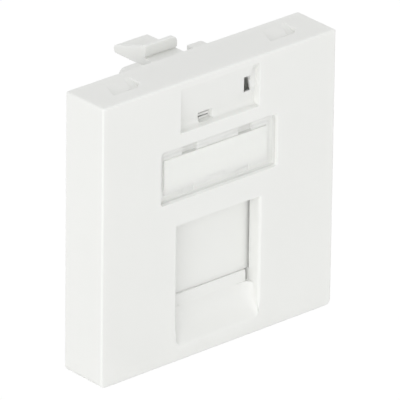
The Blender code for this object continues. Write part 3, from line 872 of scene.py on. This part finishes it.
    def recess(self) -> list[bpy.types.Object]:
        """Models what the ramped recess, its side channel and its two slots leave open."""
        top, bottom = self.recess_down
        ramp = Bench.block("ramp", self.recess_across, (-BEYOND, self.recess_depth), (top, bottom))
        Bench.shift(
            ramp,
            lambda at: at[0][1] > 0.0 and abs(at[0][2] - top) < CLOSE,
            (0.0, -self.recess_depth, 0.0),
        )
        Bench.round_edges(
            ramp,
            lambda ends: all(at[1] > 0.0 and abs(at[2] - bottom) < CLOSE for at in ends),
            self.recess_fillet,
            ARC_FACETS,
        )
        right = self.recess_across[1]
        channel = Bench.block(
            "channel", (right - self.channel_width, right), (-BEYOND, self.channel_depth), (top, bottom)
        )
        Bench.slice(channel, spot(0.0, 0.0, top + self.channel_run), Axis.DOWN)
        Bench.shift(
            channel,
            lambda at: at[0][1] > 0.0 and abs(at[0][2] - top) < CLOSE,
            (0.0, -self.channel_depth, 0.0),
        )
        through = (-BEYOND, self.plate + BEYOND)
        level = Bench.block(
            "level_slot",
            about(self.level_slot_x, self.slot_length),
            (-BEYOND, self.level_slot_floor),
            self.level_slot_down,
        )
        inside = about(self.level_slot_x, self.slot_length - WELD)
        slits = [Bench.block("slit", inside, through, down) for down in self.slits]
        upright = Bench.block(
            "upright_slot",
            about(self.upright_slot[0], self.slot_width),
            through,
            about(self.upright_slot[1], self.slot_length),
        )
        middle = self.upright_slot[1]
        Bench.shift(upright, lambda at: at[0][2] > middle, (self.upright_slot_lean / 2, 0.0, 0.0))
        Bench.shift(upright, lambda at: at[0][2] < middle, (-self.upright_slot_lean / 2, 0.0, 0.0))
        margin = 2 * self.relief_margin
        relief = Bench.block(
            "relief",
            (about(self.upright_slot[0], self.slot_width + margin)[0], right + self.relief_reach),
            (self.relief_front, self.plate + BEYOND),
            about(self.upright_slot[1], self.slot_length + margin),
        )
        return [ramp, channel, level, *slits, upright, relief]

    def pocket(self) -> list[bpy.types.Object]:
        """Models what the label pocket and the slots for its cover's legs leave open."""
        top, bottom = self.pocket_down
        across = (-self.pocket_half_width, self.pocket_half_width)
        pocket = Bench.block("pocket", across, (-BEYOND, self.pocket_depth), (top, bottom))
        Bench.round_edges(
            pocket, lambda ends: runs_back(ends, self.pocket_depth), self.pocket_corner, ARC_FACETS
        )
        parts = [pocket]
        upper, lower = top + self.leg_slot_inset, bottom - self.leg_slot_inset
        spans = ((upper, upper + self.leg_slot_heights[0]), (lower - self.leg_slot_heights[1], lower))
        for middle in (-self.leg_x, self.leg_x):
            for span, floor, shift in zip(spans, self.leg_slot_floors, self.leg_slot_shifts):
                depth = (self.pocket_depth - WELD, floor)
                across = about(middle + shift, self.leg_slot_width)
                parts.append(Bench.block("leg_slot", across, depth, span))
        return parts

    def scoop(self) -> bpy.types.Object:
        """Models what the dished scoop leaves open, from a grid that is sunk and drawn forwards."""
        top = self.port_down[1] + self.lip_height
        height = self.scoop_height + self.scoop_run_out
        half = self.scoop_columns + ARC_FACETS + 1
        bpy.ops.object.select_all(action="DESELECT")
        bpy.ops.mesh.primitive_grid_add(
            x_subdivisions=2 * half, y_subdivisions=self.scoop_rows, size=1.0,
            location=spot(0.0, 0.0, top + height / 2), rotation=(math.pi / 2, 0.0, 0.0),
        )
        scoop = bpy.context.active_object
        scoop.scale = (2 * half * MM, height * MM, 1.0)
        Bench.settle(scoop, "scoop")
        for vertex in scoop.data.vertices:
            column, _, down = place_of(vertex.co)
            across, depth = self.scoop_point(round(abs(column)), down)
            vertex.co = spot(math.copysign(across, column), depth, down)
        Bench.enter(scoop)
        bpy.ops.mesh.extrude_region()
        shape = bmesh.from_edit_mesh(scoop.data)
        ahead = spot(0.0, -BEYOND, 0.0).y
        for vertex in shape.verts:
            if vertex.select:
                vertex.co.y = ahead
        bmesh.update_edit_mesh(scoop.data)
        bpy.ops.mesh.select_all(action="SELECT")
        bpy.ops.mesh.remove_doubles(threshold=MERGE * MM)
        bpy.ops.mesh.normals_make_consistent(inside=False)
        return Bench.leave(scoop)

    def scoop_point(self, column: int, down: float) -> Span:
        """Where a column of the scoop's grid lies: on the floor, its side fillet or the rounded edge.

        Args:
            column: The column, counted from the middle.
            down: Millimetres below the upper edge.

        Returns:
            The distance from the middle and the depth behind the front face, in millimetres.
        """
        if column <= self.scoop_columns:
            across = self.port_half_width * math.sin(math.pi / 2 * column / self.scoop_columns)
            floor = self.scoop_floor(across, down)
            fillet = max(min(self.scoop_fillet, self.scoop_fillet_share * floor), 0.0)
            reach = max(across - self.port_half_width + self.scoop_spread, 0.0) / self.scoop_spread
            return across, floor - fillet * (1.0 - math.sqrt(max(1.0 - reach**2, 0.0)))
        turn = math.pi / 2 * (column - self.scoop_columns - 1) / ARC_FACETS
        floor = self.scoop_floor(self.port_half_width, down)
        sink = max(min(self.port_round, self.scoop_round_share * floor), 0.0)
        radius = sink + SKIN
        across = self.port_half_width + radius * (1.0 - math.cos(turn))
        return across, min(sink, floor) - radius * math.sin(turn)

    def scoop_floor(self, across: float, down: float) -> float:
        """How deep the scoop would be at a place without its side fillets.

        Args:
            across: Millimetres from the middle.
            down: Millimetres below the upper edge.

        Returns:
            The depth behind the front face in millimetres, below zero past the scoop's foot.
        """
        turn = max(across - self.port_half_width + self.scoop_corner, 0.0) / self.scoop_corner
        height = self.scoop_height - self.scoop_corner * (1.0 - math.sqrt(max(1.0 - turn**2, 0.0)))
        share = max(down - self.port_down[1] - self.lip_height, 0.0) / height
        bow = 1.0 - (across / self.port_half_width) ** 2
        dish = self.scoop_dish * math.sin(math.pi * min(share, 1.0)) * bow
        floor = self.lip_depth * (1.0 - share**2) + dish
        return (floor + math.hypot(floor, self.scoop_ease * share)) / 2 - self.scoop_skim * share

    def port_edge(self, side: int) -> bpy.types.Object:
        """Models what rounding one upright edge of the port takes away.

        Args:
            side: -1 for the left edge, 1 for the right.

        Returns:
            An angle bar with a hollow inner corner.
        """
        down = (self.port_down[0], self.port_down[1] + self.lip_height)
        inner = self.port_half_width - WELD
        across = sided(side, inner, self.port_half_width)
        bar = Bench.block("port_edge", across, (-BEYOND, 2 * self.port_round), down)
        brim = sided(side, inner, self.port_half_width + 2 * self.port_round)
        Bench.combine(bar, Operation.JOIN, Bench.block("brim", brim, (-BEYOND, -SKIN), down))
        edge = side * self.port_half_width
        return Bench.round_edges(
            bar,
            lambda ends: all(abs(at[0] - edge) < SKIN and abs(at[1] + SKIN) < SKIN for at in ends),
            self.port_round + SKIN,
            ARC_FACETS,
        )

    def port(self) -> list[bpy.types.Object]:
        """Models what the port, the lip's face and its end notches leave open."""
        top, bottom = self.port_down
        across = (-self.port_half_width, self.port_half_width)
        lip_foot = bottom + self.lip_height
        parts = [
            Bench.block("port", across, (-BEYOND, self.plate + BEYOND), (top, bottom)),
            Bench.block("lip_face", across, (-BEYOND, self.lip_depth), (bottom - WELD, lip_foot)),
            self.port_edge(-1),
            self.port_edge(1),
            self.scoop(),
        ]
        for side in (-1, 1):
            notch = sided(side, self.port_half_width - self.lip_notch, self.port_half_width)
            depth = (self.lip_depth - WELD, self.scoop_block_depth + BEYOND)
            parts.append(Bench.block("notch", notch, depth, (bottom - WELD, lip_foot)))
        return parts

    def round_lip(self, housing: bpy.types.Object) -> None:
        """Rounds the lip's two upper ends and slopes its upper front edge.

        Args:
            housing: The housing with its port cut.
        """
        top, end = self.port_down[1], self.port_half_width - self.lip_notch
        Bench.round_edges(
            housing,
            lambda ends: all(abs(abs(at[0]) - end) < NEAR and abs(at[2] - top) < NEAR for at in ends)
            and runs_back(ends, BEYOND),
            self.lip_end_round,
            ARC_FACETS,
        )
        foot = top + self.lip_end_round + NEAR
        Bench.round_edges(
            housing,
            lambda ends: all(
                abs(at[0]) < end + NEAR
                and abs(at[1] - self.lip_depth) < NEAR
                and top - WELD < at[2] < foot
                for at in ends
            ),
            self.lip_slope,
            1,
        )

    def snaps(self) -> list[bpy.types.Object]:
        """Models what the snap pockets in the upper wall leave open."""
        parts = []
        front, rear = self.snap_depth_span
        halfway = (front + rear) / 2
        nub_sink = self.snap_sink - self.snap_nub
        turn_rise = self.snap_sink * self.snap_corner / (rear - front)
        for middle in (-self.snap_x, self.snap_x):
            left, right = about(middle, self.snap_length)
            step = middle + self.snap_hole
            nub = Bench.block("snap_nub", (left, step + WELD), (front, rear), (-BEYOND, nub_sink))
            well = Bench.block("snap_well", (step, right), (front, rear), (-BEYOND, self.snap_sink))
            Bench.round_edges(
                well,
                lambda ends: all(end[0] > step + WELD and end[1] < halfway for end in ends)
                and abs(ends[0][2] - ends[1][2]) > WELD,
                self.snap_corner,
                1,
            )
            Bench.shift(
                well,
                lambda at: at[0][2] > 0.0 and front + WELD < at[0][1] < rear - WELD,
                (0.0, 0.0, -turn_rise),
            )
            for ramp, sink, edge in ((nub, nub_sink, right), (well, self.snap_sink, right - WELD)):
                Bench.shift(
                    ramp, lambda at: at[0][2] > 0.0 and at[0][1] > rear - WELD, (0.0, 0.0, -sink)
                )
                Bench.shift(
                    ramp,
                    lambda at: at[0][0] < edge and at[0][1] > rear - WELD,
                    (self.snap_lean, 0.0, 0.0),
                )
            hole = about(step, self.snap_hole)
            through = (-BEYOND, self.wall + BEYOND)
            parts += [nub, well, Bench.block("snap_hole", hole, (front, front + self.snap_hole), through)]
        return parts

    def build(self) -> bpy.types.Object:
        """Models the whole housing."""
        housing = self.shell()
        Bench.combine(housing, Operation.JOIN, *self.guides())
        Bench.combine(housing, Operation.CUT, *self.recess(), *self.pocket(), *self.port())
        self.round_lip(housing)
        upper = self.snaps()
        lower = [Bench.mirrored(tool, tool.name + "_low", Axis.DOWN) for tool in upper]
        Bench.combine(housing, Operation.CUT, *upper, *lower)
        Bench.halve(housing, 0.0)
        housing.name = "housing_moulding"
        return Bench.soften(housing, self.edge_radius)

    def dress(self, piece: bpy.types.Object, plastic: bpy.types.Material) -> None:
        """Gives the housing its finish and its body.

        Args:
            piece: The housing.
            plastic: The white plastic.
        """
        dress(piece, plastic, "module", "white_plastic", "front_housing")


@dataclass
class LabelWindow:
    """The clear cover over the label card: a bevelled tray with four legs and two bosses."""

    half_width: float = 11.05
    down: Span = (10.55, 18.65)
    pane: float = 0.7
    rim: float = 0.95
    rim_depth: float = 1.15
    bevel: float = 0.3
    corner: float = 0.45
    leg_x: float = 5.4
    leg_width: float = 2.2
    leg_thickness: float = 0.6
    leg_inset: float = 0.25
    leg_tips: Span = (1.75, 1.3)
    leg_shifts: Span = (0.55, 0.0)
    barb: float = 0.15
    barb_length: float = 0.3
    boss_half_width: float = 1.65
    boss_height: float = 0.6
    edge_radius: float = 0.05

    def build(self) -> bpy.types.Object:
        """Models the cover."""
        top, bottom = self.down
        across = (-self.half_width, self.half_width)
        cover = Bench.block("label_cover", across, (0.0, self.rim_depth), (top, bottom))
        Bench.round_edges(cover, lambda ends: runs_back(ends, self.pane), self.corner, ARC_FACETS)
        Bench.round_edges(cover, lambda ends: all(abs(end[1]) < CLOSE for end in ends), self.bevel, 1)
        inner = self.half_width - self.rim
        tray = Bench.block(
            "tray",
            (-inner, inner),
            (self.pane, self.rim_depth + BEYOND),
            (top + self.rim, bottom - self.rim),
        )
        Bench.combine(cover, Operation.CUT, tray)
        parts = []
        for middle in (-self.leg_x, self.leg_x):
            edges = (top + self.leg_inset, bottom - self.leg_inset)
            for edge, inward, tip, shift in zip(edges, (1, -1), self.leg_tips, self.leg_shifts):
                leg = tuple(sorted((edge, edge + inward * self.leg_thickness)))
                barb = tuple(sorted((edge - inward * self.barb, edge + inward * self.leg_thickness)))
                across = about(middle + shift, self.leg_width)
                parts.append(Bench.block("leg", across, (self.pane - WELD, tip), leg))
                parts.append(Bench.block("barb", across, (tip - self.barb_length, tip), barb))
        for edge, inward in ((top + self.rim, 1), (bottom - self.rim, -1)):
            span = tuple(sorted((edge - inward * WELD, edge + inward * self.boss_height)))
            boss = (-self.boss_half_width, self.boss_half_width)
            parts.append(Bench.block("boss", boss, (self.pane - WELD, self.rim_depth), span))
        Bench.combine(cover, Operation.JOIN, *parts)
        Bench.halve(cover, self.rim_depth)
        return Bench.soften(cover, self.edge_radius)

    def dress(self, piece: bpy.types.Object, clear: bpy.types.Material) -> None:
        """Gives the cover its finish and its body.

        Args:
            piece: The cover.
            clear: The clear plastic.
        """
        dress(piece, clear, "label_cover", "clear_plastic", "label_window")


@dataclass
class LabelCard:
    """The card strip behind the cover."""

    half_width: float = 9.95
    down: Span = (12.25, 16.95)
    depth: Span = (0.98, 1.19)
    edge_radius: float = 0.03

    def build(self) -> bpy.types.Object:
        """Models the card."""
        card = Bench.block("card_strip", (-self.half_width, self.half_width), self.depth, self.down)
        return Bench.soften(card, self.edge_radius)

    def dress(self, piece: bpy.types.Object, paper: bpy.types.Material) -> None:
        """Gives the card its finish and its body.

        Args:
            piece: The card.
            paper: The card's material.
        """
        dress(piece, paper, "module", "white_card", "label_card")


@dataclass
class Shutter:
    """The sliding door behind the port, with its runners, ears and spring pegs."""

    half_width: float = 6.9
    front: float = 2.75
    rear: float = 4.5
    down: Span = (21.4, 35.44)
    foot_hang: float = 0.15
    runner_half_width: float = 8.6
    runner_fall: float = 0.13
    facets: int = 6
    ear_half_width: float = 10.9
    ear_depth: Span = (3.0, 4.5)
    ear_down: Span = (31.2, 32.7)
    peg_x: float = 9.65
    peg_depth: float = 3.75
    peg_radius: float = 0.36
    peg_length: float = 0.8
    edge_radius: float = 0.05

    def build(self) -> bpy.types.Object:
        """Models the shutter."""
        across = (-self.runner_half_width, self.runner_half_width)
        door = Bench.block("shutter_door", across, (self.front, self.rear), self.down)
        runner = self.runner_half_width - self.half_width
        Bench.slice(door, spot(0.0, self.front + self.foot_hang, 0.0), Axis.DEPTH)
        for step in range(self.facets):
            edge = self.half_width + runner * step / self.facets
            for side in (-1, 1):
                Bench.slice(door, spot(side * edge, 0.0, 0.0), Axis.ACROSS)
        for vertex in door.data.vertices:
            across, depth, down = place_of(vertex.co)
            share = max(abs(across) - self.half_width, 0.0) / runner
            if depth < self.front + WELD:
                fall = self.runner_fall * share**2
                hang = self.foot_hang - fall if down > self.down[1] - WELD else 0.0
                vertex.co = spot(across, self.front + fall, down + hang)
        ear = (-self.ear_half_width, self.ear_half_width)
        parts = [Bench.block("ear", ear, self.ear_depth, self.ear_down)]
        for side in (-1, 1):
            tip = self.ear_down[0] - self.peg_length
            parts.append(
                Bench.rod(
                    "ear_peg",
                    (side * self.peg_x, self.peg_depth, tip),
                    (side * self.peg_x, self.peg_depth, self.ear_down[0] + WELD),
                    self.peg_radius,
                )
            )
        Bench.combine(door, Operation.JOIN, *parts)
        return Bench.soften(door, self.edge_radius)

    def dress(self, piece: bpy.types.Object, plastic: bpy.types.Material) -> None:
        """Gives the shutter its finish and its body.

        Args:
            piece: The shutter.
            plastic: The white plastic.
        """
        dress(piece, plastic, "shutter", "white_plastic", "shutter")


@dataclass
class ShutterSprings:
    """The two springs that close the shutter, each from its ear up to the housing's stop."""

    across: float = 9.65
    depth: float = 3.75
    down: Span = (8.9, 30.9)
    outer_radius: float = 0.75
    wire_radius: float = 0.12
    turns: int = 14
    steps: int = 28
    sides: int = 12
    pressed: float = 10.0

    def build(self) -> list[bpy.types.Object]:
        """Models both springs as a wire ring that is screwed upwards."""
        return [self.coil(side, name) for side, name in ((-1, "spring_left"), (1, "spring_right"))]

    def coil(self, side: int, name: str) -> bpy.types.Object:
        """Models one spring.

        Args:
            side: -1 for the left spring, 1 for the right one.
            name: Its name.

        Returns:
            The closed wire.
        """
        low, high = self.down[1] - self.wire_radius, self.down[0] + self.wire_radius
        radius = self.outer_radius - self.wire_radius
        start = spot(side * self.across + radius, self.depth, low)
        bpy.ops.object.select_all(action="DESELECT")
        bpy.ops.mesh.primitive_circle_add(
            vertices=self.sides, radius=self.wire_radius * MM, fill_type="NGON",
            location=start, rotation=(math.pi / 2, 0.0, 0.0),
        )
        wire = Bench.settle(bpy.context.active_object, name)
        Bench.enter(wire)
        centre = spot(side * self.across, self.depth, low)
        bpy.ops.mesh.spin(
            steps=self.steps * self.turns,
            angle=math.tau * self.turns,
            center=centre,
            axis=(0.0, 0.0, 1.0),
            use_auto_merge=False,
        )
        Bench.leave(wire)
        rise = (low - high) * MM / (self.steps * self.turns)
        for vertex in wire.data.vertices:
            vertex.co.z += rise * (vertex.index // self.sides)
        Bench.enter(wire)
        bpy.ops.mesh.normals_make_consistent(inside=False)
        Bench.leave(wire)
        bpy.ops.object.shade_smooth()
        return wire

    def dress(self, pieces: Iterable[bpy.types.Object], steel: bpy.types.Material) -> None:
        """Gives the springs their finish and their body, each with a mesh of its own.

        Args:
            pieces: The left and the right spring.
            steel: The spring steel.
        """
        for piece, node in zip(pieces, ("shutter_spring_left", "shutter_spring_right")):
            dress(piece, steel, "module", "spring_steel", node)
            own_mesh(piece)


@dataclass
class RearCarrier:
    """The moulding behind the housing: flange, hollow tower, keystone opening and the two frame clips."""

    flange_half_width: float = 13.4
    flange_depth: Span = (4.8, 6.4)
    flange_corner: float = 1.5
    down: Span = (2.1, 42.9)
    tower_half_width: float = 8.4
    tower_rear: float = 13.2
    tower_corner: float = 1.2
    tower_wall: float = 1.4
    keystone_half_width: float = 7.4
    keystone_down: Span = (20.9, 37.1)
    latch_room: float = 2.2
    foot_room: float = 1.2
    shelf: float = 1.1
    inner_corner: float = 0.4
    clip_half_width: float = 3.1
    clip_slot: float = 1.7
    clip_slot_length: float = 4.0
    clip_front: float = 13.3
    clip_rear: float = 20.5
    clip_thickness: float = 1.4
    lip_top: float = 0.12
    lip_length: float = 1.5
    lip_round: float = 0.9
    tail_drop: float = 0.1
    tail_round: float = 0.6
    web: float = 0.9
    web_sink: float = 0.03
    groove: float = 0.25
    edge_radius: float = 0.12

    def clip(self) -> bpy.types.Object:
        """Models the upper frame clip: tongue, catch lip, sloping web and groove."""
        top, underside = self.down[0], self.down[0] + self.clip_thickness
        across = (-self.clip_half_width, self.clip_half_width)
        root = self.tower_rear - self.tower_wall
        lip_rear = self.clip_front + self.lip_length
        tongue = Bench.block("clip", across, (root, self.clip_rear), (top, underside))
        Bench.slice(tongue, spot(0.0, lip_rear, 0.0), Axis.DEPTH)
        rear = self.clip_rear
        Bench.shift(
            tongue, lambda at: at[0][1] > rear - WELD and at[0][2] < top + WELD, (0.0, 0.0, self.tail_drop)
        )
        Bench.round_edges(
            tongue,
            lambda ends: all(end[1] > rear - WELD for end in ends) and abs(ends[0][0] - ends[1][0]) > BEYOND,
            self.tail_round,
            ARC_FACETS,
        )
        lip = Bench.block("lip", across, (self.clip_front, lip_rear), (self.lip_top, underside))
        Bench.round_edges(
            lip,
            lambda ends: all(end[0] > 0.0 and end[2] < top for end in ends) and runs_back(ends, WELD),
            self.lip_round,
            ARC_FACETS,
        )
        Bench.round_edges(
            lip,
            lambda ends: all(end[1] > lip_rear - CLOSE and end[2] < top for end in ends),
            self.lip_length / 2,
            1,
        )
        web = Bench.block(
            "web",
            (-self.clip_half_width, self.web - self.clip_half_width),
            (self.clip_front + self.groove, rear - self.tail_round),
            (self.lip_top, underside - WELD),
        )
        Bench.shift(
            web,
            lambda at: at[0][1] > lip_rear and at[0][2] < top,
            (0.0, 0.0, top + self.tail_drop + self.web_sink - self.lip_top),
        )
        Bench.combine(tongue, Operation.JOIN, lip, web)
        groove = Bench.block(
            "groove",
            (-self.clip_half_width - BEYOND, self.clip_half_width + BEYOND),
            (self.clip_front - BEYOND, self.clip_front + self.groove),
            (top - self.groove, top),
        )
        return Bench.combine(tongue, Operation.CUT, groove)

    def hollows(self) -> list[bpy.types.Object]:
        """Models what the tower's hollows and the keystone opening leave open."""
        across = (-self.keystone_half_width, self.keystone_half_width)
        chamber = (self.keystone_down[0] - self.latch_room, self.keystone_down[1] + self.foot_room)
        behind = (self.flange_depth[1], self.tower_rear + BEYOND)
        spans = (
            (self.down[0] + self.tower_wall, chamber[0] - self.shelf),
            chamber,
            (chamber[1] + self.shelf, self.down[1] - self.tower_wall),
        )
        parts = [Bench.block("hollow", across, behind, span) for span in spans]
        through = (self.flange_depth[0] - BEYOND, self.flange_depth[1] + WELD)
        parts.append(Bench.block("keystone_opening", across, through, self.keystone_down))
        for part in parts:
            Bench.round_edges(part, lambda ends: runs_back(ends, BEYOND), self.inner_corner, ARC_FACETS)
        return parts

    def build(self) -> bpy.types.Object:
        """Models the whole carrier."""
        flange = Bench.block(
            "flange", (-self.flange_half_width, self.flange_half_width), self.flange_depth, self.down
        )
        Bench.round_edges(flange, lambda ends: runs_back(ends, BEYOND), self.flange_corner, ARC_FACETS)
        tower = Bench.block(
            "tower",
            (-self.tower_half_width, self.tower_half_width),
            (self.flange_depth[1] - WELD, self.tower_rear),
            self.down,
        )
        Bench.round_edges(tower, lambda ends: runs_back(ends, BEYOND), self.tower_corner, ARC_FACETS)
        clip = self.clip()
        lower_clip = Bench.mirrored(clip, "clip_low", Axis.DOWN)
        carrier = Bench.combine(flange, Operation.JOIN, tower, lower_clip, clip)
        slots = []
        depth = (self.tower_rear - self.clip_slot_length, self.tower_rear + BEYOND)
        for side in (-1, 1):
            slot = sided(side, self.clip_half_width, self.clip_half_width + self.clip_slot)
            upper = Bench.block("clip_slot", slot, depth, (0.0, self.down[0] + self.tower_wall + WELD))
            slots += [upper, Bench.mirrored(upper, "clip_slot_low", Axis.DOWN)]
        Bench.combine(carrier, Operation.CUT, *slots, *self.hollows())
        carrier.name = "carrier_moulding"
        return Bench.soften(carrier, self.edge_radius)

    def dress(self, piece: bpy.types.Object, plastic: bpy.types.Material) -> None:
        """Gives the carrier its finish and its body.

        Args:
            piece: The carrier.
            plastic: The white plastic.
        """
        dress(piece, plastic, "module", "white_plastic", "rear_carrier")


@dataclass
class Studio:
    """The pale floor, the soft lamp, the white world and the camera at the picture's angle.

    Angles are in degrees. The camera's distance, slide, lens and sensor are in millimetres; its clip range,
    the floor's size and the lamp's distance and size are in metres, and the lamp's power is in watts.
    """

    azimuth: float = -41.28
    elevation: float = 25.17
    roll: float = 0.72
    distance: float = 1137.56
    slide: Span = (-2.84, 1.27)
    lens: float = 698.15
    sensor: float = 36.0
    clip: Span = (0.05, 50.0)
    floor_size: float = 6.0
    floor_colour: Triple = (0.92, 0.92, 0.92)
    floor_white: float = 0.93
    floor_glow: float = 1.03
    world_strength: float = 0.78
    key_angles: Span = (-51.0, 7.0)
    key_distance: float = 1.4
    key_size: float = 1.2
    key_power: float = 9.8

    def camera(self) -> bpy.types.Object:
        """Places the camera as solved from the picture's seven corners."""
        back = towards(self.azimuth, self.elevation)
        right = Vector((0.0, 0.0, 1.0)).cross(back).normalized()
        up = back.cross(right)
        centre = spot(0.0, 0.0, SIDE / 2) + (
            back * self.distance + right * self.slide[0] + up * self.slide[1]
        ) * MM
        tilt = math.radians(self.roll)
        cosine, sine = math.cos(tilt), math.sin(tilt)
        right, up = right * cosine + up * sine, up * cosine - right * sine
        axes = Matrix((right, up, back)).transposed()
        bpy.ops.object.camera_add(location=centre, rotation=axes.to_euler())
        camera = bpy.context.active_object
        camera.name = "picture_camera"
        camera.data.lens = self.lens
        camera.data.sensor_width = self.sensor
        camera.data.clip_start, camera.data.clip_end = self.clip
        bpy.context.scene.camera = camera
        return camera

    def white_where_seen(self, tree: bpy.types.NodeTree) -> bpy.types.NodeSocket:
        """Adds a value that is 1 on rays from the camera, from gloss and through glass.

        Args:
            tree: The node tree that needs it.

        Returns:
            The value's socket.
        """
        path = tree.nodes.new("ShaderNodeLightPath").outputs
        seen = calculate(tree, "MAXIMUM", path["Is Camera Ray"], path["Is Glossy Ray"])
        return calculate(tree, "MAXIMUM", seen, path["Is Transmission Ray"])

    def world(self) -> None:
        """Lights the module evenly from all round, and shows pure white behind it."""
        world = bpy.data.worlds.new("white_studio")
        world.use_nodes = True
        tree = world.node_tree
        shown, light = tree.nodes["Background"], tree.nodes.new("ShaderNodeBackground")
        for background, strength in ((shown, 1.0), (light, self.world_strength)):
            background.inputs["Color"].default_value = (1.0, 1.0, 1.0, 1.0)
            background.inputs["Strength"].default_value = strength
        share = self.white_where_seen(tree)
        mixed = blend(tree, share, light.outputs["Background"], shown.outputs["Background"])
        tree.links.new(mixed, tree.nodes["World Output"].inputs["Surface"])
        bpy.context.scene.world = world

    def floor(self) -> None:
        """Lays the pale floor, which shows nearly white and keeps a faint shadow."""
        bpy.ops.object.select_all(action="DESELECT")
        bpy.ops.mesh.primitive_plane_add(size=self.floor_size, location=(0.0, 0.0, 0.0))
        floor = bpy.context.active_object
        floor.name = "studio_floor"
        material = bpy.data.materials.new("pale_floor")
        material.use_nodes = True
        tree = material.node_tree
        shader = tree.nodes["Principled BSDF"]
        shader.inputs["Base Color"].default_value = (*self.floor_colour, 1.0)
        shader.inputs["Roughness"].default_value = 1.0
        shader.inputs["Specular IOR Level"].default_value = 0.0
        white = tree.nodes.new("ShaderNodeEmission")
        white.inputs["Strength"].default_value = self.floor_glow
        share = calculate(tree, "MULTIPLY", self.white_where_seen(tree), self.floor_white)
        mixed = blend(tree, share, shader.outputs["BSDF"], white.outputs["Emission"])
        tree.links.new(mixed, tree.nodes["Material Output"].inputs["Surface"])
        floor.data.materials.append(material)

    def lamp(self) -> None:
        """Hangs the soft box at the left."""
        back = towards(*self.key_angles)
        place = spot(0.0, 0.0, SIDE / 2) + back * self.key_distance
        bpy.ops.object.light_add(type="AREA", location=place)
        lamp = bpy.context.active_object
        lamp.name = "key_box"
        lamp.rotation_euler = back.to_track_quat("Z", "Y").to_euler()
        lamp.data.shape = "DISK"
        lamp.data.size = self.key_size
        lamp.data.energy = self.key_power

    def build(self) -> None:
        """Sets up the whole studio."""
        bpy.context.scene.view_settings.view_transform = "Standard"
        self.camera()
        self.world()
        self.floor()
        self.lamp()


def main() -> None:
    """Builds the pieces in order, dresses them and sets up the studio."""
    logging.basicConfig(level=logging.INFO, format="%(name)s: %(message)s")
    plastic = MouldedPlastic().material()
    clear = ClearPlastic().material()
    paper = CardPaper().material()
    steel = SpringWire().material()
    for assembly, material in (
        (FrontHousing(), plastic),
        (RearCarrier(), plastic),
        (Shutter(), plastic),
        (LabelWindow(), clear),
        (LabelCard(), paper),
        (ShutterSprings(), steel),
    ):
        assembly.dress(assembly.build(), material)
    Studio().build()


if __name__ == "__main__":
    main()
